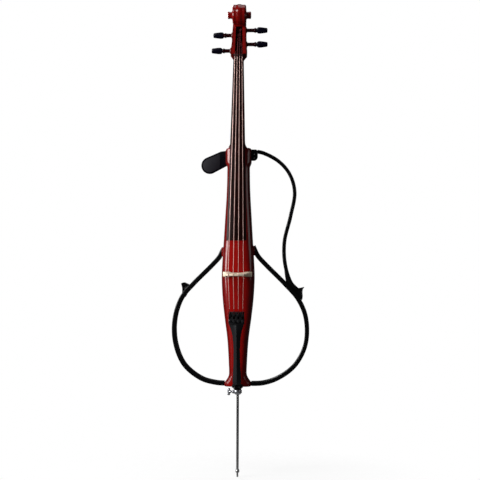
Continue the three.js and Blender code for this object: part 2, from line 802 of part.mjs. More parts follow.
// Middle lines of the frames, seen from the front.
const LEFT_LINE = [
  [-38, 736],
  [-50, 717],
  [-60, 697],
  [-84.5, 669.5],
  [-142.5, 611.5],
  [-179.5, 567],
  [-201, 500],
  [-199, 425],
  [-171, 356],
  [-117, 312],
  [-70, 298.5],
  [-30, 296],
];
const RIGHT_LINE = [
  [41, 746],
  [52, 721],
  [62, 701],
  [89.5, 671],
  [147.5, 613.5],
  [190.5, 564.5],
  [215, 505],
  [214, 421],
  [180.5, 355],
  [128, 315],
  [80, 298.5],
  [30, 296],
];
const UPPER_LINE = [
  [50, 1032.5],
  [78, 1027],
  [129, 999],
  [163, 958],
  [178, 903],
  [165, 826],
  [146, 745],
  [149, 672],
  [168, 615],
  [186, 596],
];

// A strip with softened edges bent along a line in the XZ plane.
function bentStrip(line, thick, depth, steps) {
  const curve = new THREE.CatmullRomCurve3(line.map(([x, z]) => vec(x, FRAME_Y, z)));
  const [t, d, soft] = [thick / 2, depth / 2, 2.6];
  const section = [
    [t, d - soft],
    [t - soft, d],
    [-t + soft, d],
    [-t, d - soft],
    [-t, -d + soft],
    [-t + soft, -d],
    [t - soft, -d],
    [t, -d + soft],
  ];
  const rings = Array.from({ length: steps + 1 }, (_, i) => {
    const at = curve.getPointAt(i / steps);
    const along = curve.getTangentAt(i / steps);
    const normal = vec(along.z, 0, -along.x);
    return section.map(([across, deep]) =>
      at.clone().addScaledVector(normal, across).add(vec(0, deep, 0)),
    );
  });
  return toSolid(loft(rings));
}

function tenon(side, inner, outer, z) {
  const [a, b] = [side * inner, side * outer];
  return box(
    [Math.min(a, b), FRAME_Y - TENON.depth / 2, z - TENON.high / 2],
    [Math.max(a, b), FRAME_Y + TENON.depth / 2, z + TENON.high / 2],
  );
}

// Clears everything nearer the middle than a socket's face, between two heights.
const inside = (side, face, low, high) =>
  side < 0 ? box([-face, -60, low], [0, 60, high]) : box([0, -60, low], [face, 60, high]);

function lowerFrame(line, { side, face, z, high }) {
  const strip = bentStrip(line, FRAME_THICK, FRAME_DEPTH, FRAME_STEPS);
  const trimmed = cut(
    strip,
    inside(side, face + GAP, 640, high + 80),
    inside(side, 42.5 + GAP, 250, 330),
  );
  return join(
    trimmed,
    tenon(side, face - TENON.inBody, face + 6, z),
    tenon(side, 42.5 - TENON.inFoot, 46, LOWER_TENON_Z),
  );
}

const frameLeft = lowerFrame(LEFT_LINE, SOCKET.left);
const frameRight = lowerFrame(RIGHT_LINE, SOCKET.right);
add("frame_left", "frame", frameLeft);
add("frame_right", "frame", frameRight);

const upperStrip = bentStrip(UPPER_LINE, UPPER_FRAME_THICK, FRAME_DEPTH - 4, FRAME_STEPS);
const clearOfRight = bentStrip(RIGHT_LINE, FRAME_THICK + 2 * GAP, FRAME_DEPTH + 2, FRAME_STEPS);
// The foot of the upper strip widens into a web that fills the corner against the lower strip.
const webOutline = [
  [146, 655],
  [151, 655],
  [168, 618],
  [184, 597],
  [178, 580],
  [152.5, 612],
];
const webDepth = FRAME_DEPTH / 2 - 3;
const webSlab = (shift, extra) => frontSlab(
  webOutline.map(([x, z]) => [x + shift, z - shift]),
  FRAME_Y - webDepth - extra,
  FRAME_Y + webDepth + extra,
);
const frameUpper = join(
  cut(join(upperStrip, webSlab(0, 0)), inside(1, SOCKET.shoulder.face + GAP, 960, 1100), clearOfRight),
  tenon(1, SOCKET.shoulder.face - TENON.inSocket, 64, SOCKET.shoulder.z),
);
add("frame_upper_right", "frame", frameUpper);

// The corner blocks: horn-shaped, standing up from the bend of each lower frame.
const leftHorn = [
  [-181, 613],
  [-172, 615.5],
  [-163, 612],
  [-150, 604],
  [-160, 585],
  [-176, 560],
  [-180, 575],
  [-177.5, 590],
  [-178, 602],
];
const rightHorn = [
  [209.5, 602.5],
  [205, 596],
  [203.5, 586],
  [205, 574],
  [203, 562],
  [190, 570],
  [176, 590],
  [188, 601],
  [198, 599.5],
];
const hornDepth = [FRAME_Y - 13, FRAME_Y + 13];
const clearOfLeft = bentStrip(LEFT_LINE, FRAME_THICK + 2 * GAP, FRAME_DEPTH + 2, FRAME_STEPS);
const clearOfUpper = bentStrip(UPPER_LINE, UPPER_FRAME_THICK + 2 * GAP, FRAME_DEPTH, FRAME_STEPS);
const largest = (solid) =>
  solid.decompose().reduce((best, piece) => (piece.volume() > best.volume() ? piece : best));
add("corner_left", "frame", largest(cut(frontSlab(leftHorn, ...hornDepth), clearOfLeft)));
const clearOfWeb = [webSlab(0, 1), webSlab(2 * GAP, 1)];
add("corner_right", "frame", largest(
  cut(frontSlab(rightHorn, ...hornDepth), clearOfRight, clearOfUpper, ...clearOfWeb),
));

// Sockets on the sides of the body, each with a slot for the tenon.
const socketBack = FRAME_Y + FRAME_DEPTH / 2;

function socket({ side, inner, face, z, low, high, knobX }, grownBody) {
  const x = [side * inner, side * face].sort((p, q) => p - q);
  const block = box([x[0], FRAME_Y - FRAME_DEPTH / 2, low], [x[1], socketBack, high]);
  const slot = mortise(side, inner - 5, face + 5, z);
  return largest(cut(block, grownBody, slot, knobHole({ knobX, z })));
}

const grownBody = bodyShape(GAP);
add("socket_left", "varnish", socket(SOCKET.left, grownBody));
add("socket_right", "varnish", socket(SOCKET.right, grownBody));
add("shoulder_bracket", "frame", socket(SOCKET.shoulder, grownBody));

// Knobs that clamp the tenons.
for (const [name, { knobX, z, backY }] of Object.entries(SOCKET)) {
  const profile = [
    [0, FRAME_Y + TENON.depth / 2 + GAP],
    [2.3, FRAME_Y + TENON.depth / 2 + GAP],
    [2.3, backY + 1],
    [4.5, backY + 1.5],
    [6, backY + 3],
    [6, backY + 9.5],
    [5, backY + 11],
    [0, backY + 11],
  ];
  add(`frame_knob_${name}`, "resin", turned("y", [knobX, 0, z], profile, 20));
}

// ---------------------------------------------------------------- chest pad

const PAD = { pivot: [-18, 1026], droop: 25.6, reach: 85.5, radius: 27, root: 14, waist: 25 };
const padAngle = THREE.MathUtils.degToRad(180 + PAD.droop);

// A paddle outline along u from its pivot, turned to hang down to the left.
function paddle(fromU, inset) {
  const end = arc(PAD.reach, 0, PAD.radius - inset, -90, 90, 12);
  const waist = PAD.waist - inset;
  const root = fromU > 0
    ? [[fromU, waist], [fromU, -waist]]
    : [[34, waist], ...arc(0, 0, PAD.root, 90, 270, 8), [34, -waist]];
  return [...end, ...root].map(([u, v]) => [
    PAD.pivot[0] + u * Math.cos(padAngle) - v * Math.sin(padAngle),
    PAD.pivot[1] + u * Math.sin(padAngle) + v * Math.cos(padAngle),
  ]);
}

const BRACKET_Y = [PAD_SEAT_Y + GAP, PAD_SEAT_Y + 7.3];
const PADDLE_Y = [BRACKET_Y[1] + GAP, BRACKET_Y[1] + 8.3];
const pivotHole = (radius) => rod("y", [PAD.pivot[0], 20, PAD.pivot[1]], 60, radius, radius, 24);

add("chest_pad_bracket", "resin", cut(
  box([PAD_BRACKET.low[0], BRACKET_Y[0], PAD_BRACKET.low[1]], [PAD_BRACKET.high[0], BRACKET_Y[1], PAD_BRACKET.high[1]]),
  pivotHole(4.4),
));
add("chest_pad_arm", "resin", cut(frontSlab(paddle(0, 0), ...PADDLE_Y), pivotHole(4.4)));
add("chest_pad_cushion", "rubber", frontSlab(paddle(36, 2), PADDLE_Y[1] + GAP, PADDLE_Y[1] + 11));
add("chest_pad_pivot", "steel", turned("y", [PAD.pivot[0], 0, PAD.pivot[1]], [
  [0, BRACKET_Y[0] + 0.5],
  [4, BRACKET_Y[0] + 0.5],
  [4, PADDLE_Y[1] + 0.5],
  [8, PADDLE_Y[1] + 0.5],
  [8, PADDLE_Y[1] + 2.5],
  [5.5, PADDLE_Y[1] + 4],
  [0, PADDLE_Y[1] + 4],
], 20));

// ---------------------------------------------------------------- electronics

const PANEL_Y = [BACK_SEAT_Y + GAP, BACK_SEAT_Y + GAP + PANEL.thick];
const VOLUME = { x: 0, z: 882 };
const REVERB = { x: 0, z: 852 };
const POWER = { x: -2.5, z: 830 };
const JACKS = [
  { name: "line_out_jack", x: 10, z: 785, outer: 7.5, hole: 3.3, depth: 14 },
  { name: "phones_jack", x: -11, z: 785, outer: 5.2, hole: 1.8, depth: 12 },
];

const plateHole = (x, z, radius) => rod("y", [x, 20, z], 40, radius, radius, 24);
const slot = (x, z, halfX, halfZ) => box([x - halfX, 20, z - halfZ], [x + halfX, 60, z + halfZ]);

add("control_panel", "resin", cut(
  box([-PANEL.half, PANEL_Y[0], PANEL.low], [PANEL.half, PANEL_Y[1], PANEL.high]),
  plateHole(VOLUME.x, VOLUME.z, 3.6),
  slot(REVERB.x, REVERB.z, 7, 2.6),
  slot(0, POWER.z, 6, 2.6),
  ...JACKS.map(({ x, z, outer }) => plateHole(x, z, outer + 0.4)),
));

add("volume_knob", "resin", turned("y", [VOLUME.x, 0, VOLUME.z], [
  [0, 30],
  [3, 30],
  [3, PANEL_Y[1] + 0.4],
  [9.5, PANEL_Y[1] + 0.4],
  [9.5, PANEL_Y[1] + 2],
  [8.2, PANEL_Y[1] + 9],
  [7, PANEL_Y[1] + 10],
  [0, PANEL_Y[1] + 10],
]));
for (const [name, { x, z }] of [["reverb_switch", REVERB], ["power_switch", POWER]]) {
  add(name, "resin", box([x - 2, 33, z - 2.2], [x + 2, PANEL_Y[1] + 2, z + 2.2]));
}
for (const { name, x, z, outer, hole, depth } of JACKS) {
  const front = PANEL_Y[1] + 1.6;
  const barrel = rod("y", [x, 24, z], front - 24, outer, outer, 24);
  add(name, "steel", cut(barrel, rod("y", [x, front - depth, z], depth + 5, hole, hole, 16)));
}
add("circuit_board", "board", box([-17, 19, 775], [17, 20.6, 893]));

add("battery_door", "resin", box([-DOOR.half, PANEL_Y[0], DOOR.low], [DOOR.half, PANEL_Y[1], DOOR.high]));
for (const [name, x] of [["battery_left", -7.8], ["battery_right", 7.8]]) {
  add(name, "battery", turned("z", [x, 27, 669], [
    [0, 0],
    [7.15, 0],
    [7.15, 49],
    [2.7, 49],
    [2.7, 50.3],
    [0, 50.3],
  ], 20));
}

export default cello;
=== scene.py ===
# %% [markdown]
# # An electric cello, piece by piece
# The instrument is a slim varnished body on an end pin, with a full-size neck and bridge, and
# black bent frames that stand in for an acoustic cello's outline. This lesson builds each
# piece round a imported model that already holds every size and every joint. Sizes below are in
# millimetres and are turned into metres in one place, where a mesh is made.

# %% Load the frame
import math

import bmesh
import bpy
from mathutils import Matrix, Vector


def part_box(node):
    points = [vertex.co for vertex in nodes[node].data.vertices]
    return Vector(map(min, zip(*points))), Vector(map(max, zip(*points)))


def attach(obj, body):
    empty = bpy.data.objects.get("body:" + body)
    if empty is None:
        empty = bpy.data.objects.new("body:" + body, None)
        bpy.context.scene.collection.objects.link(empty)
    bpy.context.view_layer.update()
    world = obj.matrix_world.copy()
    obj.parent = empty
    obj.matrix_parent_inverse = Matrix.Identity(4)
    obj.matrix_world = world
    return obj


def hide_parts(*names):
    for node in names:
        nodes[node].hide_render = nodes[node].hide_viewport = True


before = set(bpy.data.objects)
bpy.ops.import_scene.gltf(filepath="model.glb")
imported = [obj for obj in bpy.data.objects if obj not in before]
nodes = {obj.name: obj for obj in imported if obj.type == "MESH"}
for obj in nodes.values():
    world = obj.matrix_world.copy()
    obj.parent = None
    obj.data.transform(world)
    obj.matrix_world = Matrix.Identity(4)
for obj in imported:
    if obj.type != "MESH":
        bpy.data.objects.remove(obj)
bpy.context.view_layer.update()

print("the packed model holds", len(nodes), "nodes")

# %% [markdown]
# ## Camera, floor and light
# The camera comes first, because everything else is judged through it. A long lens a few
# metres away keeps the tall instrument from bending in perspective. It stands a little to the
# treble side, so the bridge and the fingerboard lean slightly across the body.

# %% Camera
VIEW_SIDE = math.radians(3.4)  # how far round the camera stands
VIEW_ROLL = math.radians(0.22)  # the instrument leans a little in the picture
VIEW_DISTANCE = 4.6  # metres
VIEW_HEIGHT = 1.522  # how much of the upright the picture takes in, in metres
SENSOR = 36.0
aim = Vector((0.0054, 0.0, 0.751))
back = Vector((math.sin(VIEW_SIDE), -math.cos(VIEW_SIDE), 0.0))

camera = bpy.data.objects.new("camera", bpy.data.cameras.new("camera"))
bpy.context.scene.collection.objects.link(camera)
camera.data.sensor_width = SENSOR
camera.data.lens = SENSOR * VIEW_DISTANCE / VIEW_HEIGHT
camera.location = aim + back * VIEW_DISTANCE
upright = (-back).to_track_quat("-Z", "Y").to_matrix()
camera.rotation_euler = (upright @ Matrix.Rotation(VIEW_ROLL, 3, "Z")).to_euler()
bpy.context.scene.camera = camera
print("lens", round(camera.data.lens, 1), "mm")

# %% [markdown]
# The studio is a white surround and five soft boxes. A tall key on the left and a lamp high
# in front do most of the work, a weak fill opens the right side, and the two behind and above
# draw light edges. Area lights are used because their long reflections are what make varnish
# and lacquer read as glossy. Only the camera sees the surround as white: for everything else
# it is nearly black, which keeps the reds deep.

# %% Lights and surround
bpy.context.scene.view_settings.view_transform = "Standard"


def soft_box(name, at, toward, width, height, power):
    lamp = bpy.data.lights.new(name, "AREA")
    lamp.shape, lamp.size, lamp.size_y, lamp.energy = "RECTANGLE", width, height, power
    box = bpy.data.objects.new(name, lamp)
    bpy.context.scene.collection.objects.link(box)
    box.location = at
    box.rotation_euler = (Vector(toward) - Vector(at)).to_track_quat("-Z", "Z").to_euler()


soft_box("key", (-3.1, -1.6, 1.5), (0, 0, 0.8), 1.6, 2.4, 165)
soft_box("high_front", (-1.9, -2.2, 3.7), (0, 0, 0.7), 1.3, 1.3, 62)
soft_box("fill", (3.0, -0.9, 1.1), (0, 0, 0.7), 0.8, 2.0, 6)
soft_box("top", (0.3, 0.5, 3.4), (0, 0, 0.8), 1.6, 1.6, 12)
soft_box("rear", (-1.6, 3.0, 2.4), (0, 0, 0.8), 1.4, 1.8, 50)

world = bpy.data.worlds.new("studio")
bpy.context.scene.world = world
world.use_nodes = True
tree = world.node_tree
seen = tree.nodes["Background"]
seen.inputs["Color"].default_value = (1, 1, 1, 1)
felt = tree.nodes.new("ShaderNodeBackground")
felt.inputs["Color"].default_value = (0.92, 0.95, 1, 1)
felt.inputs["Strength"].default_value = 0.03
choose = tree.nodes.new("ShaderNodeMixShader")
path_kind = tree.nodes.new("ShaderNodeLightPath")
tree.links.new(path_kind.outputs["Is Camera Ray"], choose.inputs[0])
tree.links.new(felt.outputs[0], choose.inputs[1])
tree.links.new(seen.outputs[0], choose.inputs[2])
tree.links.new(choose.outputs[0], tree.nodes["World Output"].inputs["Surface"])
print(len(bpy.data.lights), "soft boxes and a surround")

# %% [markdown]
# ## A way to write materials
# A material is a small graph. Written node by node it is long and hard to read, so two small
# classes do it: `Signal` wraps a socket and turns arithmetic into Math nodes, and `Finish`
# makes any other node in one call. Numbers that don't vary stay on the shader's own sockets.

# %% Signal


class Signal:
    """A value inside a material. Arithmetic on it adds Math nodes."""

    def __init__(self, finish, socket):
        self.finish, self.socket = finish, socket

    def math(self, operation, *values):
        return self.finish.node(
            "ShaderNodeMath", {"operation": operation}, dict(enumerate(values))
        )

    def __add__(self, other):
        return self.math("ADD", self, other)

    def __sub__(self, other):
        return self.math("SUBTRACT", self, other)

    def __rsub__(self, other):
        return self.math("SUBTRACT", other, self)

    def __mul__(self, other):
        return self.math("MULTIPLY", self, other)

    def __abs__(self):
        return self.math("ABSOLUTE", self)

    __radd__ = __add__
    __rmul__ = __mul__

    def between(self, low, high):
        """0 below low, 1 above high, and a soft step between."""
        settings = {"interpolation_type": "SMOOTHSTEP"}
        ends = {"Value": self, "From Min": low, "From Max": high}
        return self.finish.node("ShaderNodeMapRange", settings, ends)


# %% [markdown]
# `Finish` holds one material. After `node`, its methods are what nearly every finish here
# asks for: noise, a stored attribute, a mix of two colours, and fine relief.

# %% Finish


class Finish:
    """One material, with a method for each thing that is asked of it."""

    def __init__(self, name, **constants):
        self.material = bpy.data.materials.new(name)
        self.material.use_nodes = True
        self.tree = self.material.node_tree
        self.shader = self.tree.nodes["Principled BSDF"]
        for words, value in constants.items():
            self.shader.inputs[words.replace("_", " ")].default_value = value
        self.place = self.node("ShaderNodeTexCoord", output="Object")

    def node(self, kind, settings=None, inputs=None, output=0):
        """Any node: its settings are made first, then its sockets get values or links."""
        made = self.tree.nodes.new(kind)
        for key, value in (settings or {}).items():
            if key == "stops":
                ramp = made.color_ramp.elements
                while len(ramp) < len(value):
                    ramp.new(0.5)
                for stop, (position, colour) in zip(ramp, value):
                    stop.position, stop.color = position, colour
            else:
                setattr(made, key, value)
        for key, value in (inputs or {}).items():
            if isinstance(value, Signal):
                self.tree.links.new(value.socket, made.inputs[key])
            else:
                made.inputs[key].default_value = value
        return Signal(self, made.outputs[output])

    def feed(self, **signals):
        for words, signal in signals.items():
            self.tree.links.new(signal.socket, self.shader.inputs[words.replace("_", " ")])

    def stretched(self, stretch, turn=(0, 0, 0)):
        """Object coordinates, stretched so that a pattern runs long one way."""
        return self.node(
            "ShaderNodeMapping",
            inputs={"Vector": self.place, "Scale": stretch, "Rotation": turn},
        )

    def noise(self, scale, stretch=(1, 1, 1), detail=4.0, rough=0.55, bend=0.0):
        return self.node(
            "ShaderNodeTexNoise",
            inputs={
                "Vector": self.stretched(stretch),
                "Scale": scale,
                "Detail": detail,
                "Roughness": rough,
                "Distortion": bend,
            },
        )

    def attribute(self, name):
        return self.node("ShaderNodeAttribute", {"attribute_name": name}, output="Fac")

    def mix(self, low, high, share):
        return self.node(
            "ShaderNodeMix", {"data_type": "RGBA"}, {0: share, 6: low, 7: high}, output=2
        )

    def relief(self, height, depth_mm, strength=1.0):
        bump = self.node(
            "ShaderNodeBump",
            inputs={"Height": height, "Distance": depth_mm * 0.001, "Strength": strength},
            output="Normal",
        )
        self.feed(Normal=bump)


# %% Colours


def colour(code):
    """A web colour code as the linear red, green, blue and alpha that shaders use."""
    parts = [int(code[i : i + 2], 16) / 255 for i in (1, 3, 5)]
    return (*[p / 12.92 if p <= 0.04045 else ((p + 0.055) / 1.055) ** 2.4 for p in parts], 1)


# %% [markdown]
# The floor only has to catch a faint shadow. It is one plain sheet, mostly clear, that fades
# out away from the pin, so there is no horizon behind the instrument.

# %% Floor
FLOOR_HALF, FLOOR_Z = 1.6, -0.0008  # metres: it lies just below the pin's point
CORNERS = [(-1, -1), (1, -1), (1, 1), (-1, 1)]
floor_mesh = bpy.data.meshes.new("floor")
floor_corners = [(x * FLOOR_HALF, y * FLOOR_HALF, FLOOR_Z) for x, y in CORNERS]
floor_mesh.from_pydata(floor_corners, [], [(0, 1, 2, 3)])
floor = bpy.data.objects.new("floor", floor_mesh)
bpy.context.scene.collection.objects.link(floor)

floor_finish = Finish("pale_floor", Roughness=0.9, Specular_IOR_Level=0.1)
far = floor_finish.node(
    "ShaderNodeVectorMath", {"operation": "LENGTH"}, {0: floor_finish.place}, output="Value"
)
tone = floor_finish.mix(colour("#fdfdfd"), colour("#ffffff"), floor_finish.noise(9.0))
floor_finish.feed(Base_Color=tone, Alpha=0.22 * (1 - far.between(0.1, 0.7)))
floor_mesh.materials.append(floor_finish.material)
print("floor", 2 * FLOOR_HALF, "m wide")

# %% [markdown]
# ## Finishes
# Varnished wood is three things at once: pale wood with grain, a coloured film that gathers
# at the edges, and a clear glossy coat. The grain is noise stretched along the instrument,
# the edge comes from an attribute called `rim` that is stored on the mesh, and the coat is
# the shader's own. The coat is thin at the flared foot, which is handled most, and thickest
# above it. The hollows behind the cover and the panel are painted black before varnishing.

# %% Varnished wood


def varnished(name, deep, bright, dark_rim, flame, pockets=False):
    """Red-brown varnish. flame is how strongly bands cross the grain, as in maple, and
    pockets paints the hollows in the back black. Heights and depths are in metres.
    """
    wood = Finish(name, Coat_Roughness=0.05, Specular_IOR_Level=0.12)
    x, y, z = (
        wood.node("ShaderNodeSeparateXYZ", inputs={"Vector": wood.place}, output=axis)
        for axis in "XYZ"
    )
    polished = z.between(0.315, 0.40)  # from the flared foot upwards
    lines = wood.noise(260.0, (1, 1, 0.035), detail=5.0)
    broad = wood.noise(34.0, (1, 1, 0.09), detail=3.0, bend=0.4)
    bands = wood.noise(38.0, (0.35, 0.35, 2.6), detail=3.0, bend=1.2)
    pores = wood.noise(900.0, (1, 1, 0.05), detail=2.0).between(0.60, 0.72)
    grain = 0.34 * lines + 0.46 * broad + 0.2
    shade = (grain * (1 - flame) + bands * flame).between(0.32, 0.72)
    film = wood.mix(colour(deep), colour(bright), shade)
    rim = wood.attribute("rim").between(0.50, 1.0)
    tinted = wood.mix(film, colour(dark_rim), 0.72 * rim)
    tinted = wood.mix(tinted, colour("#160302"), 0.22 * pores)
    if pockets:
        depth = y.between(0.0112, 0.0117) * (1 - y.between(0.0352, 0.0357))
        width = 1 - abs(x).between(0.0204, 0.0209)
        length = z.between(0.64, 0.65) * (1 - z.between(0.91, 0.92))
        tinted = wood.mix(tinted, colour("#0b0b0c"), depth * width * length)
    wood.feed(
        Base_Color=tinted,
        Roughness=0.27 + 0.10 * lines - 0.06 * shade,
        Coat_Weight=0.15 + 0.47 * polished,
    )
    wood.relief(lines * 0.6 + broad * 0.4 - 0.5 * pores, 0.05, 0.55)
    return wood


body_varnish = varnished("body_varnish", "#720402", "#9a0b07", "#360302", 0.18, pockets=True)
neck_varnish = varnished("neck_varnish", "#600302", "#880a06", "#2e0302", 0.55)

# %% [markdown]
# Ebony is nearly black, with brown streaks and open pores that run with the grain. The same
# recipe makes the fingerboard, the nut, the saddle and the turned pegs: only the tint and the
# shine differ. A peg's shaft is stained red-brown, up to where its polished head begins.

# %% Ebony


def ebony(name, dark, streak, shine, stretch=(1, 1, 0.03), shaft=None):
    wood = Finish(name, Coat_Weight=0.03, Coat_Roughness=0.2, Specular_IOR_Level=0.1)
    streaks = wood.noise(150.0, stretch, detail=6.0, rough=0.6)
    pores = wood.noise(700.0, stretch, detail=2.0).between(0.58, 0.70)
    hands = wood.noise(16.0, detail=2.0)
    tint = wood.mix(colour(dark), colour(streak), streaks.between(0.42, 0.78))
    if shaft:
        across = wood.node("ShaderNodeSeparateXYZ", inputs={"Vector": wood.place}, output="X")
        head = abs(across).between(0.049, 0.054)  # metres out from the middle
        tint = wood.mix(colour(shaft), tint, head)
    wood.feed(Base_Color=tint, Roughness=shine + 0.16 * pores + 0.12 * hands)
    wood.relief(streaks - pores, 0.04, 0.5)
    return wood


board_ebony = ebony("board_ebony", "#140202", "#2b0705", 0.34)
turned_ebony = ebony("turned_ebony", "#04030f", "#0d0b1a", 0.2, (0.04, 1, 1), "#230306")
plain_ebony = ebony("plain_ebony", "#0e0b0b", "#241814", 0.28)

# %% [markdown]
# The bridge is bare maple, cut so that short flecks show on its faces.

# %% Bare maple
bridge_maple = Finish("bridge_maple", Specular_IOR_Level=0.35)
fibres = bridge_maple.noise(190.0, (0.07, 1, 1), detail=5.0)
flecks = bridge_maple.noise(420.0, (0.35, 0.9, 0.35), detail=2.0).between(0.60, 0.70)
warm = bridge_maple.noise(22.0, detail=3.0)
pale = bridge_maple.mix(colour("#e9d6bb"), colour("#f6ead6"), fibres.between(0.35, 0.7))
aged = bridge_maple.mix(pale, colour("#dcbf98"), 0.5 * warm.between(0.45, 0.8))
bridge_maple.feed(
    Base_Color=bridge_maple.mix(aged, colour("#c39a6c"), 0.45 * flecks),
    Roughness=0.5 + 0.12 * fibres,
)
bridge_maple.relief(fibres - 0.5 * flecks, 0.04, 0.5)

# %% [markdown]
# The frames are laminated wood under black lacquer. Lacquer is glossy but never flat: a faint
# orange-peel ripple bends its reflections, and handling leaves hairline scuffs.

# %% Black lacquer


def black_gloss(name, base, scuffed, shine, ripple):
    lacquer = Finish(name, Coat_Weight=0.3, Coat_Roughness=0.08, Specular_IOR_Level=0.3)
    peel = lacquer.noise(120.0, detail=2.0)
    layers = lacquer.noise(300.0, detail=1.0)
    scuffs = lacquer.noise(60.0, (1, 6, 1), detail=6.0, rough=0.7).between(0.62, 0.74)
    lacquer.feed(
        Base_Color=lacquer.mix(colour(base), colour(scuffed), 0.8 * scuffs),
        Roughness=shine + 0.25 * scuffs + 0.05 * layers,
    )
    lacquer.relief(peel + 0.2 * scuffs, ripple, 0.35)
    return lacquer


frame_lacquer = black_gloss("frame_lacquer", "#030304", "#121113", 0.26, 0.05)

# %% [markdown]
# Moulded resin is satin: fine grain everywhere and a little polish where hands rub it. The
# padded parts use the same idea with a coarser grain.

# %% Resin and rubber


def moulded(name, base, light, shine, grain_size, depth):
    resin = Finish(name, Specular_IOR_Level=0.3)
    grain = resin.noise(grain_size, detail=3.0)
    rubbed = resin.noise(14.0, detail=2.0).between(0.4, 0.7)
    resin.feed(
        Base_Color=resin.mix(colour(base), colour(light), 0.5 * grain + 0.25 * rubbed),
        Roughness=shine + 0.16 * grain - 0.09 * rubbed,
    )
    resin.relief(grain, depth, 0.5)
    return resin


tail_resin = moulded("tail_resin", "#141416", "#2b2b2e", 0.30, 900.0, 0.03)
panel_resin = moulded("panel_resin", "#101012", "#232326", 0.42, 1300.0, 0.05)
pad_resin = moulded("pad_resin", "#030208", "#0b0a12", 0.22, 700.0, 0.03)
grip_rubber = moulded("grip_rubber", "#100f16", "#211f29", 0.6, 1500.0, 0.10)
gut_plastic = moulded("gut_plastic", "#08080a", "#191a1c", 0.35, 1200.0, 0.02)

# %% [markdown]
# Leathercloth for the cushion: cells of grain from a Voronoi texture, with fine creases
# between them. The creases are painted darker than the cell tops, as painted shade.

# %% Leathercloth
pad_cloth = Finish("pad_cloth", Specular_IOR_Level=0.4, Sheen_Weight=0.08)
cells = pad_cloth.node(
    "ShaderNodeTexVoronoi",
    {"feature": "DISTANCE_TO_EDGE"},
    {"Vector": pad_cloth.place, "Scale": 620.0},
    output="Distance",
)
crease = cells.between(0.0, 0.16)
dust = pad_cloth.noise(30.0, detail=4.0)
# The creases darken the colour and the cell tops are lighter: painted shade in the grain. The dust
# is real.
pad_cloth.feed(
    Base_Color=pad_cloth.mix(colour("#0b0b0e"), colour("#26262c"), 0.55 * crease + 0.3 * dust),
    Roughness=0.66 - 0.16 * crease + 0.1 * dust,
)
pad_cloth.relief(crease, 0.12, 0.7)

# %% [markdown]
# Metals. Brushed steel is streaked along the way it was drawn, chrome is nearly a mirror, and
# the flat-wound strings show the edge of each turn of tape. The strings' steel is tinted pink, a
# painted reflection of the red body. The strings carry two attributes: `along`, the distance from
# the tail end in metres, and `silk`, where thread covers the metal.

# %% Metals


def metal(name, dull, bright, shine, stretch, depth=0.01):
    bare = Finish(name, Metallic=1.0)
    drawn = bare.noise(260.0, stretch, detail=5.0)
    marks = bare.noise(30.0, detail=4.0).between(0.5, 0.75)
    bare.feed(
        Base_Color=bare.mix(colour(dull), colour(bright), drawn.between(0.3, 0.7)),
        Roughness=shine + 0.10 * drawn + 0.08 * marks,
    )
    bare.relief(drawn, depth, 0.4)
    return bare


pin_steel = metal("pin_steel", "#8f8f90", "#c9c9ca", 0.2, (1, 1, 0.02))
small_steel = metal("small_steel", "#97979a", "#cfcfd2", 0.25, (0.05, 1, 1))
clamp_chrome = metal("clamp_chrome", "#a4a5ab", "#d2d3d8", 0.3, (1, 1, 0.3), 0.004)
warm_brass = metal("warm_brass", "#8d6a35", "#c9a25a", 0.28, (1, 0.1, 1))


def string_finish(name, silk_colour):
    wound = Finish(name)
    along = wound.attribute("along")
    silk = wound.attribute("silk").between(0.4, 0.6)
    turns = along.math("SINE", along * 9000.0)  # one wave for each turn of the tape
    spots = wound.noise(500.0, detail=3.0)
    # The pink in the steel's colour is a painted reflection of the red body.
    steel = wound.mix(colour("#d3a49b"), colour("#efcdc4"), spots.between(0.3, 0.7))
    wound.feed(
        Base_Color=wound.mix(steel, colour(silk_colour), silk),
        Metallic=0.4 * (1 - silk),
        Roughness=0.3 + 0.35 * silk + 0.06 * spots,
    )
    wound.relief(turns, 0.03, 0.5)
    return wound


# %% [markdown]
# The last finishes belong to the electronics: the green board with its copper tracks, and the
# wrap on each cell.

# %% Electronics
board_green = Finish("board_green", Specular_IOR_Level=0.5, Coat_Weight=0.3)
tracks = board_green.node(
    "ShaderNodeTexBrick",
    {"offset": 0.37},
    {"Vector": board_green.stretched((1, 0, 1), (math.pi / 2, 0, 0)), "Scale": 90.0},
    output="Fac",
)
board_green.feed(
    Base_Color=board_green.mix(colour("#12512a"), colour("#2c7a46"), tracks),
    Roughness=0.35 + 0.2 * board_green.noise(200.0),
)
board_green.relief(tracks, 0.05, 0.5)

cell_wrap = Finish("cell_wrap", Coat_Weight=0.5, Coat_Roughness=0.1)
height = cell_wrap.node(
    "ShaderNodeSeparateXYZ", inputs={"Vector": cell_wrap.place}, output="Z"
)
cap = height.between(0.7055, 0.7060)  # the upper end of a cell is copper-coloured
print_noise = cell_wrap.noise(400.0, detail=3.0)
wrap = cell_wrap.mix(colour("#1b2a4a"), colour("#b9793a"), cap)
cell_wrap.feed(
    Base_Color=cell_wrap.mix(wrap, colour("#0c0d12"), 0.2 * print_noise),
    Metallic=0.25 + 0.5 * cap,
    Roughness=0.3 + 0.1 * print_noise,
)
cell_wrap.relief(print_noise, 0.02, 0.3)
print(len(bpy.data.materials), "materials so far")

# %% [markdown]
# ## Tools for shapes
# Most pieces here are one of four things: a skin through rings (a loft), a profile turned on
# a lathe, a flat outline given thickness, or a tube along a path. Writing those once keeps
# each piece down to its own numbers.

# %% Meshes from rings
MM = 0.001


def link(name, mesh):
    piece = bpy.data.objects.new(name, mesh)
    bpy.context.scene.collection.objects.link(piece)
    return piece


def tidy(piece, merge=0.002):
    """Joins corners that coincide, and turns every face outwards."""
    work = bmesh.new()
    work.from_mesh(piece.data)
    bmesh.ops.remove_doubles(work, verts=work.verts, dist=merge * MM)
    bmesh.ops.recalc_face_normals(work, faces=work.faces)
    work.to_mesh(piece.data)
    work.free()
    return piece


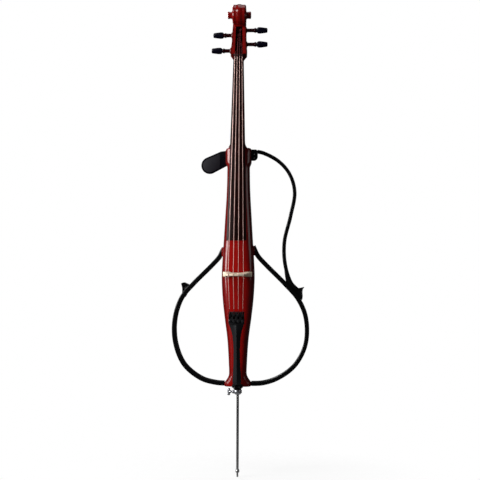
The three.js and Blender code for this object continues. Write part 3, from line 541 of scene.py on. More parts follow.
def mesh_in_mm(name, corners, edges=(), faces=()):
    """A bare mesh from corners in millimetres."""
    mesh = bpy.data.meshes.new(name)
    mesh.from_pydata([Vector(c) * MM for c in corners], edges, faces)
    return mesh


def loft(name, rings, ends=True, loop=False):
    """A skin through rings of corners: closed off at its ends, or joined in a loop."""
    n = len(rings[0])
    count = len(rings)
    faces = []
    for i in range(count if loop else count - 1):
        a, b = i * n, (i + 1) % count * n
        faces += [(a + j, a + (j + 1) % n, b + (j + 1) % n, b + j) for j in range(n)]
    if ends and not loop:
        faces += [tuple(range(n)), tuple(range((count - 1) * n, count * n))]
    corners = [corner for ring in rings for corner in ring]
    return tidy(link(name, mesh_in_mm(name, corners, faces=faces)))


# %% Turned shapes


def along(axis, a, b, t):
    """A point given across two directions and along a third: axis is x, y or z."""
    return {"x": (t, a, b), "y": (a, t, b), "z": (a, b, t)}[axis]


def circle(radius, steps):
    turns = [2 * math.pi * i / steps for i in range(steps)]
    return [(radius * math.cos(t), radius * math.sin(t)) for t in turns]


def lathe(name, axis, centre, profile, steps=48, loop=False):
    """A profile of (radius, distance) turned round an axis through centre."""
    rings = []
    for radius, distance in profile:
        ring = [along(axis, a, b, distance) for a, b in circle(max(radius, 0.0005), steps)]
        rings.append([Vector(p) + Vector(centre) for p in ring])
    return loft(name, rings, loop=loop)


# %% [markdown]
# A smooth line through a few given points is a centripetal Catmull-Rom spline. It passes
# through every point, and it doesn't swing wide where the points are unevenly spaced.

# %% Smooth lines


def through(points, steps=8, closed=False):
    """Points of a smooth line through the given ones, with steps to each gap."""
    given = [Vector(p) for p in points]
    if closed:
        ends = [given[-1], *given, given[0], given[1]]
    else:
        ends = [2 * given[0] - given[1], *given, 2 * given[-1] - given[-2]]
    line = []
    for a, b, c, d in zip(ends, ends[1:], ends[2:], ends[3:]):
        knots = [0.0]
        for p, q in ((a, b), (b, c), (c, d)):
            knots.append(knots[-1] + max((q - p).length, 1e-6) ** 0.5)
        k0, k1, k2, k3 = knots
        for i in range(steps):
            t = k1 + (k2 - k1) * i / steps
            p = a.lerp(b, (t - k0) / (k1 - k0))
            q = b.lerp(c, (t - k1) / (k2 - k1))
            r = c.lerp(d, (t - k2) / (k3 - k2))
            p, q = p.lerp(q, (t - k0) / (k2 - k0)), q.lerp(r, (t - k1) / (k3 - k1))
            line.append(p.lerp(q, (t - k1) / (k2 - k1)))
    return [tuple(p) for p in (line if closed else [*line, given[-1]])]


def read(pairs, t):
    """The value at t of a line through (value, t) pairs."""
    for (v0, t0), (v1, t1) in zip(pairs, pairs[1:]):
        if t <= t1:
            return v0 + (v1 - v0) * min(max((t - t0) / (t1 - t0), 0), 1)
    return pairs[-1][0]


def arc(cx, cy, radius, start, end, steps):
    angles = [math.radians(start + (end - start) * i / steps) for i in range(steps + 1)]
    return [(cx + radius * math.cos(a), cy + radius * math.sin(a)) for a in angles]


# %% [markdown]
# Modifiers do the finishing that would be tedious by hand. Bevel breaks every sharp edge,
# because a real edge always catches a line of light, and Boolean cuts one shape out of
# another. Each is applied at once, so that a finished piece is a plain mesh.

# %% Applying modifiers


def settle(piece):
    """Applies a piece's modifiers and leaves a plain mesh."""
    graph = bpy.context.evaluated_depsgraph_get()
    mesh = bpy.data.meshes.new_from_object(piece.evaluated_get(graph), depsgraph=graph)
    piece.modifiers.clear()
    piece.data = mesh
    return piece


def softened(piece, width, segments=3, sharper_than=30):
    bevel = piece.modifiers.new("softened", "BEVEL")
    bevel.width, bevel.segments = width * MM, segments
    bevel.limit_method, bevel.angle_limit = "ANGLE", math.radians(sharper_than)
    return settle(piece)


def carved(piece, *cutters, how="DIFFERENCE"):
    for cutter in cutters:
        cut = piece.modifiers.new("cut", "BOOLEAN")
        cut.operation, cut.solver, cut.object = how, "EXACT", cutter
    settle(piece)
    for cutter in cutters:
        bpy.data.objects.remove(cutter)
    return piece


# %% Blocks and slabs


def block(low, high, name="block"):
    """A box between two opposite corners, given either way round."""
    (x0, x1), (y0, y1), (z0, z1) = (sorted(pair) for pair in zip(low, high))
    ring = [(x0, y0), (x1, y0), (x1, y1), (x0, y1)]
    return loft(name, [[(x, y, z) for x, y in ring] for z in (z0, z1)])


def slab(name, plane, outline, low, high):
    """A flat outline pushed along x, y or z: the axis that plane leaves out."""
    axis = ({"x", "y", "z"} - set(plane)).pop()
    return loft(name, [[along(axis, a, b, t) for a, b in outline] for t in (low, high)])


# %% [markdown]
# Every piece ends in `done`. It smooths the faces, keeps the edges that are really sharp,
# parents the piece to the body it rides on and hides the imported nodes that it stands for.

# %% Finishing a piece


def gathered(name, *parts):
    """One piece out of several."""
    with bpy.context.temp_override(active_object=parts[0], selected_editable_objects=parts):
        bpy.ops.object.join()
    parts[0].name = parts[0].data.name = name
    return parts[0]


def store(piece, name, values):
    layer = piece.data.attributes.new(name, "FLOAT", "POINT")
    layer.data.foreach_set("value", values)


def done(piece, finish, body, slot, *stands_for, crease=32):
    """Gives a finished shape its finish, its body and the nodes that it stands for."""
    if finish is not None:
        piece.data.materials.clear()
        piece.data.materials.append(finish.material)
    piece.data.shade_smooth()
    piece.data.set_sharp_from_angle(angle=math.radians(crease))
    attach(piece, body)
    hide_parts(*stands_for)
    print(piece.name, len(piece.data.polygons), "faces")
    return piece


# %% [markdown]
# Geometry Nodes make what repeats or follows a path. `Recipe` builds such a tree with named
# inputs, and `cook` runs it and keeps the result as a plain mesh.

# %% Geometry Nodes recipes


class Recipe:
    """A Geometry Nodes tree whose inputs have names and starting values."""

    KINDS = {
        float: "NodeSocketFloat",
        int: "NodeSocketInt",
        tuple: "NodeSocketVector",
        bpy.types.Material: "NodeSocketMaterial",
        bpy.types.Object: "NodeSocketObject",
    }

    def __init__(self, name, **inputs):
        self.group = bpy.data.node_groups.new(name, "GeometryNodeTree")
        sides = self.group.interface
        sides.new_socket("Geometry", in_out="INPUT", socket_type="NodeSocketGeometry")
        for label, kind in inputs.items():
            sides.new_socket(label, in_out="INPUT", socket_type=self.KINDS[kind])
        sides.new_socket("Geometry", in_out="OUTPUT", socket_type="NodeSocketGeometry")
        self.inlet = self.group.nodes.new("NodeGroupInput")
        self.outlet = self.group.nodes.new("NodeGroupOutput")

    def given(self, label="Geometry"):
        return self.inlet.outputs[label]

    def node(self, kind, settings=None, output=0, **inputs):
        made = self.group.nodes.new(kind)
        for key, value in (settings or {}).items():
            setattr(made, key, value)
        for words, value in inputs.items():
            socket = made.inputs[words.replace("_", " ")]
            if isinstance(value, bpy.types.NodeSocket):
                self.group.links.new(value, socket)
            else:
                socket.default_value = value
        return made.outputs[output]

    def serve(self, geometry):
        """Ends the tree: real geometry, with its material."""
        real = self.node("GeometryNodeRealizeInstances", Geometry=geometry)
        painted = self.node("GeometryNodeSetMaterial", Geometry=real, Material=self.given("Finish"))
        self.group.links.new(painted, self.outlet.inputs[0])

    def cook(self, name, start=None, **values):
        piece = link(name, start or bpy.data.meshes.new(name))
        made = piece.modifiers.new("recipe", "NODES")
        made.node_group = self.group
        for item in self.group.interface.items_tree:
            if item.in_out == "INPUT" and item.name in values:
                made[item.identifier] = values[item.name]
        return tidy(settle(piece), 0.0005)


# %% [markdown]
# ## The body
# The body is carved from one block: a flared foot, a slim tail, its widest part under the
# bridge and square shoulders. It could be sculpted, but its sections follow a simple rule, a
# rounded box whose width changes with height, so it is lofted through many such sections.
# Where panels sit, the back is planed flat.

# %% Body shape
FOOT, TOP = 288.0, 1042.0
BODY_WIDTHS = [
    (42.5, 288), (42, 299), (33.5, 311), (28, 323), (27.4, 338), (28.4, 360), (29.8, 390),
    (33.5, 440), (42, 505), (48.5, 565), (51.8, 630), (50.2, 680), (46, 745), (41, 830),
    (37, 900), (35.5, 960), (36, 984), (40, 992), (40.8, 1015), (40.6, 1036), (38.5, 1042),
]  # fmt: skip
BACK_LAND, LAND_FROM, LAND_TO = 36.0, 585, 912  # where the cover and the panel sit
NECK_SEAT, NECK_FROM = -30.0, 940
PAD_SEAT, PAD_FROM = 31.0, 1004
ROUND_OVER = [(0, 2.6), (0.7, 1.1), (2.4, 0)]  # (distance from an end, inset)
body_widths = through(BODY_WIDTHS, 10)


def body_front(z):
    return -29 - 4 * math.sin(math.pi * (z - FOOT) / (TOP - FOOT))


def body_back(z):
    return 31 + 9 * math.sqrt(max(math.sin(math.pi * (z - FOOT) / (TOP - FOOT)), 0))


def body_ring(z, inset, points=112):
    half = read(body_widths, z) - inset
    front, rear = body_front(z) + inset, body_back(z) - inset
    ring = []
    for i in range(points):
        turn = 2 * math.pi * i / points
        c, s = math.cos(turn), math.sin(turn)
        power = 2 / (3.2 if s < 0 else 4.5)
        x = half * math.copysign(abs(c) ** power, c)
        y = (front + rear) / 2 + (rear - front) / 2 * math.copysign(abs(s) ** power, s)
        if LAND_FROM <= z <= LAND_TO:
            y = min(y, BACK_LAND)
        if z >= PAD_FROM:
            y = min(y, PAD_SEAT)
        if z >= NECK_FROM:
            y = max(y, NECK_SEAT)
        ring.append((x, y, z))
    return ring


levels = {FOOT + 4 + 5 * i for i in range(150)} | {1038.5}
planed = (LAND_FROM, LAND_TO, NECK_FROM, PAD_FROM)
levels |= {level + side for level in planed for side in (-0.15, 0.15)}
rings = [body_ring(FOOT + up, inset) for up, inset in ROUND_OVER]
rings += [body_ring(z, 0) for z in sorted(levels) if z < TOP - 3]
rings += [body_ring(TOP - down, inset) for down, inset in reversed(ROUND_OVER)]
body = loft("cello_body", rings)

# %% [markdown]
# The pockets and sockets are cut last, in this order: the bore for the end pin, the pockets
# for the cells and for the electronics, the saddle's notch, the recesses under the bridge's
# feet, the slots for the frames' tongues, and the holes for the two lower knobs.

# %% Body pockets
FRAME_Y = 6.0
TONGUE = (9.3, 3.3)  # half depth and half height of the slot for a frame's tongue
SOCKET_Z = {"left": 714.5, "right": 719.5, "shoulder": 1030.0}
FOOT_SLOT_Z = 296.5
BRIDGE_Z = 643.0
PICKUP_WIDE, PICKUP_HIGH = 11.3, 8.3  # half sizes of the recess under each foot of the bridge
PIN_BORE = 6.0
CELL_POCKET = [(-18, 18.5, 664), (18, 60, 726)]
PANEL_POCKET = [(-20, 12, 765), (20, 60, 900)]
SADDLE_NOTCH = [(-16.3, -60, 280), (16.3, -22.7, 297.3)]
KNOB_X = 40.0  # how far out the two lower knobs stand


def tongue_slot(x0, x1, z):
    deep, high = TONGUE
    return block((x0, FRAME_Y - deep, z - high), (x1, FRAME_Y + deep, z + high))


def foot_recess(x):
    wide, high = PICKUP_WIDE, PICKUP_HIGH
    return block((x - wide, -60, BRIDGE_Z - high), (x + wide, -28, BRIDGE_Z + high))


def drill(axis, at, length, radius, steps=32):
    profile = [(0, 0), (radius, 0), (radius, length), (0, length)]
    return lathe("drill", axis, at, profile, steps)


carved(
    body,
    drill("z", (0, 0, 280), 426, PIN_BORE),
    block(*CELL_POCKET),
    block(*PANEL_POCKET),
    block(*SADDLE_NOTCH),
    foot_recess(-34),
    foot_recess(34),
    tongue_slot(-60, -27, FOOT_SLOT_Z),
    tongue_slot(27, 60, FOOT_SLOT_Z),
    tongue_slot(-60, -34, SOCKET_Z["left"]),
    tongue_slot(34, 60, SOCKET_Z["right"]),
    drill("y", (-KNOB_X, FRAME_Y, SOCKET_Z["left"]), 60, 2.8),
    drill("y", (KNOB_X, FRAME_Y, SOCKET_Z["right"]), 60, 2.8),
)
store(body, "rim", [
    abs(v.co.x) / MM / max(read(body_widths, v.co.z / MM), 1) for v in body.data.vertices
])
done(body, body_varnish, "instrument", "varnish", "body", crease=38)

# %% [markdown]
# ## Neck, pegbox and scroll
# A cello's neck, pegbox and scroll are one piece of maple. Here they are lofted in three
# runs that meet inside the wood. The neck is round behind and flat in front, and swells into
# a heel where it meets the body.

# %% Neck
NUT_Z = 1331.0
BOARD_LENGTH = 582.0
CROWN = 62.0  # radius of the fingerboard's arch
HEEL_START = 1068.0


def mix(a, b, t):
    return a + (b - a) * t


def down_board(z):
    return (NUT_Z - z) / BOARD_LENGTH


def board_half(z):
    return mix(16, 31.5, down_board(z))


def board_top(z):
    return mix(-26.8, -104, down_board(z))


def board_under(z):
    return board_top(z) + mix(9, 14, down_board(z))


def arch(x):
    return CROWN - math.sqrt(CROWN**2 - x**2)


def neck_ring(z, points=44):
    rise = min(max((HEEL_START - z) / (HEEL_START - TOP), 0), 1) ** 2.2
    front = board_under(z) + 0.3
    depth = mix(mix(18, 22, down_board(z) * 2), PAD_SEAT - 1 - front, rise)
    half = mix(board_half(z), 29, rise**2)
    power = mix(1, 0.6, rise)
    ring = []
    for i in range(points):
        turn = math.pi * i / (points - 1)
        c, s = math.cos(turn), math.sin(turn)
        x = half * math.copysign(abs(c) ** power, c)
        ring.append((x, front + depth * max(s, 0) ** power, z))
    return [*ring, *[(half * s, front, z) for s in (-0.5, 0, 0.5)]]


neck_levels = [1326, 1300, 1250, 1200, 1150, 1100, *range(1068, 1042, -2), TOP + 0.3]
neck = loft("neck_run", [neck_ring(z) for z in neck_levels])
cheek_points = [(NECK_SEAT - 0.3, 1008), (-36, 992), (-52, 974), (board_under(962) + 0.3, 962)]
cheek = through(cheek_points, 6)
root_side = [(board_under(1048) + 0.3, 1048), (NECK_SEAT - 0.3, 1048), *cheek]
root = softened(slab("neck_root", "yz", root_side, -21.5, 21.5), 2.0)

# %% [markdown]
# The pegbox is a box with a deep mortise for the strings. Its back carries the same pair of
# flutes as the scroll, with a ridge between them.

# %% Pegbox
HEAD_FRONT = [(-19.1, 1318), (-17.5, 1331), (-17.5, 1338.8), (-23.5, 1339), (6, 1427), (18, 1443)]
HEAD_BACK = [(2, 1318), (8, 1330), (16, 1339), (25, 1360), (36, 1395), (46, 1431), (47.2, 1443)]
HEAD_HALF = [
    (16.4, 1318), (16.4, 1320), (25.3, 1332), (25.3, 1350), (22.6, 1376), (21.4, 1414),
    (20.4, 1433), (20.6, 1443),
]  # fmt: skip


def flute(share):
    """0 on the ridge and at the edges, 1 in the middle of each of the two channels."""
    u = (abs(share) - 0.10) / 0.78
    return math.sin(math.pi * u) ** 2 if 0 < u < 1 else 0.0


def pegbox_ring(z):
    front, rear, half = read(HEAD_FRONT, z), read(HEAD_BACK, z), read(HEAD_HALF, z)
    soft = 2.6
    carve = 2.2 * min(max((z - 1340) / 25, 0), 1)
    ring = [(-half, rear - soft)]
    for i in range(25):
        x = mix(-half + soft, half - soft, i / 24)
        ring.append((x, rear - carve * flute(x / half)))
    ring += [(half, rear - soft), (half, front + 1), (half - 1, front)]
    ring += [(-half + 1, front), (-half, front + 1)]
    return [(x, y, z) for x, y in ring]


head_levels = sorted({1318, 1320, 1331, 1332, 1338.8, 1339, 1443, *range(1344, 1440, 5)})
pegbox = loft("pegbox", [pegbox_ring(z) for z in head_levels])
FLOOR = [(-17, 1338.9), (-10, 1341), (6, 1342), (12, 1352), (28, 1400), (31, 1418), (27, 1430)]
well_side = [(-60, 1338.9), *FLOOR, (-60, 1430)]
WELL_HALF = [(13, 1335), (11.5, 1385), (10.5, 1430)]
well = slab("well", "yz", well_side, -1, 1)
for v in well.data.vertices:
    v.co.x *= read(WELL_HALF, v.co.z / MM)

# %% Peg holes
PEGS = {
    "c": dict(side=-1, z=1350.4, y=-2.0, out=1.0),
    "g": dict(side=-1, z=1401.5, y=14.5, out=-3.0),
    "d": dict(side=1, z=1418.0, y=18.5, out=3.5),
    "a": dict(side=1, z=1371.6, y=5.0, out=4.5),
}


def cheek_half(z):
    return read([(25.3, 1350), (22.6, 1376), (21.4, 1414), (20, 1433)], z)


bosses, holes = [], []
for peg in PEGS.values():
    side, y, z = peg["side"], peg["y"], peg["z"]
    edge = cheek_half(z)
    outer = [(0, edge - 3), (10.5, edge - 3), (10.2, edge + 0.6), (8.9, edge + 3), (0, edge + 3)]
    bosses.append(lathe("boss", "x", (0, y, z), [(r, side * x) for r, x in outer]))
    holes.append(drill("x", (0 if side > 0 else -60, y, z), 60, 6.6))
    holes.append(drill("x", (-60 if side > 0 else 0, y, z), 60, 6.1))
carved(pegbox, *bosses, how="UNION")
carved(pegbox, well, *holes)

# %% [markdown]
# The scroll is a ribbon wound round its eye. Its radius shrinks a little with every degree,
# and it widens as it winds inwards, so that the eye stands proudest. A loft that follows the
# spiral gives both rules directly: each section runs up one side, over the fluted rim and
# down the other side.

# %% Scroll
EYE_Y, EYE_Z = 15.0, 1465.8
RIM = 38.0


def turn_radius(degrees):
    outer = RIM * 0.93 ** (min(degrees, 260) / 90)
    return outer * math.exp(-0.00172 * max(degrees - 260, 0))


SCROLL_HALF = [(20.6, -36), (21, 230), (21.5, 400), (23.5, 560), (26, 720), (28.5, 860)]


def scroll_ring(degrees):
    outer = turn_radius(max(degrees, 0)) + (max(-degrees, 0) / 36) ** 2 * 2.0
    inner = turn_radius(degrees + 360) - 1.5 if degrees < 500 else 3.0
    half = read(SCROLL_HALF, degrees)
    wall = []
    for share in (i / 8 for i in range(9)):
        dish = 1.5 * math.sin(math.pi * share)
        wall.append((mix(inner, outer - 4.6, share), half - dish))
    rim = [(outer - 3.2, half - 1.2)]
    for i in range(1, 24):
        x = mix(half - 1.6, 1.6 - half, i / 24)
        rim.append((outer - 1.7 * flute(x / half) - 3.0 * abs(x / half) ** 3, x))
    rim.append((outer - 3.2, 1.2 - half))
    section = [*wall, *rim, *[(r, -x) for r, x in reversed(wall)]]
    angle = math.radians(degrees)
    c, s = math.cos(angle), math.sin(angle)
    return [(x, EYE_Y + r * c, EYE_Z + r * s) for r, x in section]


scroll = loft("scroll", [scroll_ring(d) for d in range(-36, 864, 6)])
EYE = [(0, -37.2), (8, -37.2), (10.7, -36.5), (11.7, -34.8), (11.4, -31), (10.8, -28), (11.4, -23)]
eye_profile = [*EYE, *[(r, -x) for r, x in reversed(EYE)]]
eye = lathe("eye", "x", (0, EYE_Y, EYE_Z), eye_profile)

# %% Neck and scroll in one piece
neck = gathered("neck_and_scroll", neck, root, pegbox, scroll, eye)


def neck_rim(v):
    x, y, z = (c / MM for c in v.co)
    if z > 1432:
        return min(math.hypot(y - EYE_Y, z - EYE_Z) / 42, 1) * 0.85
    return abs(x) / (cheek_half(z) + 2 if z > 1336 else board_half(z) + 6)


store(neck, "rim", [neck_rim(v) for v in neck.data.vertices])
done(neck, neck_varnish, "instrument", "varnish", "neck", crease=40)

# %% [markdown]
# ## Fingerboard, nut and saddle
# The fingerboard is arched across and hollowed underneath where it hangs free over the body.
# The nut at its top end has a groove for each string.

# %% Fingerboard


def board_ring(z):
    half = board_half(z)
    hollow = 5 * min(max((962 - z) / 12, 0), 1)
    top = [(x, board_top(z) + arch(x), z) for x in (mix(-half, half, i / 28) for i in range(29))]
    under = []
    for i in range(17):
        share = mix(1, -1, i / 16)
        under.append((half * 0.97 * share, board_under(z) - hollow * (1 - share**2), z))
    return [*top, *under]


board_levels = [NUT_Z - 0.3, *range(1320, 970, -25), 962, 956, 950, *range(925, 750, -25), 749]
board = softened(loft("fingerboard_top", [board_ring(z) for z in board_levels]), 0.9)
done(board, board_ebony, "instrument", "ebony", "fingerboard")

# %% Nut and saddle
NUT_GAP = 7.3  # between two strings at the nut
STRING_RADIUS = {"c": 1.0, "g": 0.85, "d": 0.7, "a": 0.6}
NUT_STRING_Y = -28.5
nut_low, nut_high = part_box("nut")


def nut_crown(x):
    """The nut's top, with a rounded groove under each string."""
    y = NUT_STRING_Y + 1.3 + arch(x)
    for i, radius in enumerate(STRING_RADIUS.values()):
        off = abs(x - (i - 1.5) * NUT_GAP)
        y += 0.75 * max(1 - (off / (radius + 0.5)) ** 2, 0)
    return y


def nut_ring(z, drop):
    xs = [mix(-16, 16, i / 96) for i in range(97)]
    seat = nut_high.y / MM
    return [*[(x, nut_crown(x) + drop, z) for x in xs], (16, seat, z), (-16, seat, z)]


nut_foot, nut_top = nut_low.z / MM, nut_high.z / MM
nut_steps = [(0, 0.5), (0.5, 0.1), (1.2, 0), (4.5, 0.25), (6.4, 1.0), (nut_top - nut_foot, 1.9)]
nut = loft("string_nut", [nut_ring(nut_foot + up, drop) for up, drop in nut_steps])
done(nut, plain_ebony, "instrument", "ebony", "nut")

saddle_side = [
    (-23, 286), (-35.6, 286), (-37, 287.6), (-37, 291), (-36, 294), (-33.5, 296.3), (-30, 297),
    (-23, 297),
]  # fmt: skip
saddle = softened(slab("tail_saddle", "yz", saddle_side, -16, 16), 0.8)
done(saddle, plain_ebony, "instrument", "ebony", "saddle")

# %% [markdown]
# ## Pegs
# Each peg is turned, then its head is flattened for the fingers. It is a loft of ellipses:
# tall and thin at the thumb piece, round at the shaft. All four come from one list of
# sections, set deeper or shallower in the pegbox as on a real instrument.

# %% Pegs
# (distance out, half height, half thickness)
PEG_SECTIONS = [
    (44, 6.1, 6.1), (44.6, 7.4, 7.4), (45.6, 8.0, 8.0), (46.8, 8.1, 8.1), (47.6, 6.6, 6.6),
    (48.4, 7.9, 7.9), (49.4, 7.9, 7.9), (50.2, 6.2, 6.2), (51.2, 5.6, 5.6), (52.4, 6.8, 5.9),
    (54, 8.8, 6.3), (56.5, 10.1, 6.7), (60, 10.4, 6.8), (65, 10.2, 6.6), (71, 9.4, 6.2),
    (78, 8.5, 5.8), (82.6, 7.8, 5.3), (84.8, 7.0, 4.6), (85.6, 5.2, 3.4), (86, 3.2, 2.2),
]  # fmt: skip


def peg_shape(name, peg):
    start = -cheek_half(peg["z"]) - peg["out"]
    sections = [(start, 4.6, 4.6), (start + 0.6, 5.2, 5.2)]
    for t in (0.3, 0.6, 0.9):
        taper = mix(5.2, 6.0, t)
        sections.append((start + t * (44 - start), taper, taper))
    rings = []
    for out, tall, thick in [*sections, *PEG_SECTIONS]:
        x = peg["side"] * (out + peg["out"])
        rings.append([(x, peg["y"] + a * thick, peg["z"] + b * tall) for a, b in circle(1, 40)])
    return loft(name, rings)


for name, peg in PEGS.items():
    done(peg_shape(f"peg_{name}_turned", peg), turned_ebony, f"peg_{name}", "ebony", f"peg_{name}")

# %% [markdown]
# ## Bridge
# A cello bridge is a thin arched plate on two feet, pierced with a heart and two kidneys. Its
# outline is drawn flat as a curve with holes, which Blender fills and rounds by itself. It is
# then thinned towards the crown, where the strings cross.

# %% Bridge
BRIDGE_STRING_Y = -125.0
CROWN_Y = BRIDGE_STRING_Y + 1.6
FEET_Y = -32.0
leg = [
    (-26.2, CROWN_Y + 5.8), (-30, CROWN_Y + 12), (-33, -98), (-29.5, -84), (-35, -73),
    (-39, -62), (-36, -50), (-38, -43), (-46, -37),
]  # fmt: skip
inner_leg = [(-23, FEET_Y), (-22, -38), (-19, -48), (-10, -56), (0, -59)]
half_line = [*through(leg, 8), (-46, FEET_Y), *through(inner_leg, 6)]
crown_line = arc(0, CROWN_Y + CROWN, CROWN, -65, -115, 26)[1:-1]
bridge_line = [*crown_line, *half_line, *[(-x, y) for x, y in reversed(half_line[:-1])]]
heart = [(0, -71), (6, -77), (9, -85), (5.4, -90), (0, -86.5), (-5.4, -90), (-9, -85), (-6, -77)]
kidney = [(16.5, -80), (22.5, -84), (24.3, -91), (19.5, -97), (15, -93.5), (17.6, -88)]
PLATE_HALF, ROUND = 8.0, 0.9


def flat_plate(name, lines, half, rounding):
    """A filled flat curve in the XY plane, with rounded edges, as a mesh in metres."""
    drawn = bpy.data.curves.new(name, "CURVE")
    drawn.dimensions, drawn.fill_mode = "2D", "BOTH"
    drawn.extrude, drawn.bevel_depth = (half - rounding) * MM, rounding * MM
    drawn.offset, drawn.bevel_resolution = -rounding * MM, 2
    for line in lines:
        spline = drawn.splines.new("POLY")
        spline.points.add(len(line) - 1)
        for point, (x, y) in zip(spline.points, line):
            point.co = (x * MM, y * MM, 0, 1)
        spline.use_cyclic_u = True
    carrier = link(name, drawn)
    graph = bpy.context.evaluated_depsgraph_get()
    mesh = bpy.data.meshes.new_from_object(carrier.evaluated_get(graph), depsgraph=graph)
    bpy.data.objects.remove(carrier)
    return link(name, mesh)


kidney_line = through(kidney, 6, closed=True)
other_kidney = [(-x, y) for x, y in kidney_line]
cuts = [through(heart, 6, closed=True), kidney_line, other_kidney]
bridge = flat_plate("carved_bridge", [bridge_line, *cuts], PLATE_HALF, ROUND)
THICKNESS = [(2.4, -125), (6.2, -46), (7.5, -38), (8.0, -32)]  # half thickness up the plate
for v in bridge.data.vertices:
    v.co.z = v.co.z / PLATE_HALF * read(THICKNESS, v.co.y / MM) + BRIDGE_Z * MM
tidy(bridge, 0.01)
done(bridge, bridge_maple, "instrument", "maple", "bridge")

# %% [markdown]
# ## Tailpiece and fine tuners
# The tailpiece is moulded with a ridge down its middle and a broad head that holds four fine
# tuners. It leans, so it is built upright round its own top and then set in place by one
# small function.

# %% Tailpiece
TAIL_LEAN = math.radians(9.65)
TAIL_TOP = (-84.0, 527.0)  # y and z of the head's top
TAIL_GAP = 13.5
TAIL_LENGTH = 233.0


def tail_point(x, y, z):
    c, s = math.cos(TAIL_LEAN), math.sin(TAIL_LEAN)
    return (x, TAIL_TOP[0] + y * c - z * s, TAIL_TOP[1] + y * s + z * c)


def lean(piece):
    """Moves a mesh built round the tailpiece's own top into place."""
    for v in piece.data.vertices:
        v.co = Vector(tail_point(*(v.co / MM))) * MM
    return piece


# (distance down, half width, ridge, edge)
TAIL_SECTIONS = [
    (0, 23.6, 8.0, 6.2), (-1.2, 24.4, 8.8, 6.9), (-4, 24.5, 9.2, 7), (-34, 24.5, 10, 7),
    (-38, 24.2, 10.2, 6.7), (-40.5, 23.2, 8.4, 3.6), (-48, 20.4, 10.4, 2.6), (-60, 16.8, 11, 1.6),
    (-75, 13.5, 11, 1), (-95, 11.4, 10.8, 0.8), (-120, 10.4, 10.4, 0.8), (-150, 10.4, 9.8, 0.8),
    (-180, 11.2, 9.3, 0.8), (-205, 12.8, 8.8, 0.8), (-222, 14, 8, 0.8), (-229, 13.4, 7, 0.6),
    (-TAIL_LENGTH, 12, 5.4, 0.2),
]  # fmt: skip


def tail_ring(z, half, ridge, edge):
    ring = []
    for i in range(33):
        u = mix(-1, 1, i / 32)
        crest = 1 - abs(u) ** 1.08
        corner = max(abs(u) - 0.9, 0) / 0.1
        ring.append((half * u, -mix(edge, ridge, crest) + corner**2 * 1.6, z))
    return [*ring, (half, 5.2, z), (half - 0.8, 6, z), (0.8 - half, 6, z), (-half, 5.2, z)]


tailpiece = loft("moulded_tailpiece", [tail_ring(*s) for s in TAIL_SECTIONS])
TAIL_X = {name: (i - 1.5) * TAIL_GAP for i, name in enumerate(STRING_RADIUS)}
slots = []
for x in TAIL_X.values():
    slots.append(block((x - 3.4, -20, -21), (x + 3.4, 3.2, 5)))
    slots.append(block((x - 3.4, -3.6, -37), (x + 3.4, 3.2, -20)))
    slots.append(drill("y", (x, -20, -27), 18, 2.6, 24))
for x in (-6, 6):
    slots.append(drill("z", (x, 1, -TAIL_LENGTH - 5), 17, 1.9, 20))
carved(tailpiece, *slots)
done(lean(tailpiece), tail_resin, "instrument", "resin", "tailpiece", crease=28)

# %% [markdown]
# Each fine tuner is a lever that rocks on a hidden axle, pushed by a ribbed thumb screw. The
# ribs round a knob are the first thing here that repeats, so they come from Geometry Nodes:
# points on a circle, with one small bar on each. The same recipe serves every knob on the
# instrument.

# %% Ribbed knobs
ribs = Recipe(
    "ribs_round_a_knob",
    Radius=float, Length=float, Width=float, Count=int, Facing=tuple, Place=tuple,
    Finish=bpy.types.Material,
)  # fmt: skip
spread = ribs.node(
    "GeometryNodeMeshCircle", {"fill_type": "NONE"},
    Vertices=ribs.given("Count"), Radius=ribs.given("Radius"),
)  # fmt: skip
bar_size = ribs.node(
    "ShaderNodeCombineXYZ", X=ribs.given("Width"), Y=ribs.given("Width"), Z=ribs.given("Length")
)
bar = ribs.node("GeometryNodeMeshCube", Size=bar_size)
outward = ribs.node(
    "FunctionNodeAlignRotationToVector", {"axis": "X"},
    Vector=ribs.node("GeometryNodeInputPosition"),
)  # fmt: skip
ring_of_bars = ribs.node(
    "GeometryNodeInstanceOnPoints", Points=spread, Instance=bar, Rotation=outward
)
turned_bars = ribs.node(
    "GeometryNodeTransform", Geometry=ring_of_bars,
    Translation=ribs.given("Place"), Rotation=ribs.given("Facing"),
)  # fmt: skip
ribs.serve(turned_bars)


def ribbed(centre, radius, length, width, count):
    """A ring of ribs round centre, for a knob whose axis runs along Y."""
    return ribs.cook(
        "grip",
        Radius=radius * MM, Length=length * MM, Width=width * MM, Count=count,
        Facing=(math.radians(90), 0.0, 0.0), Place=tuple(c * MM for c in centre),
        Finish=tail_resin.material,
    )  # fmt: skip


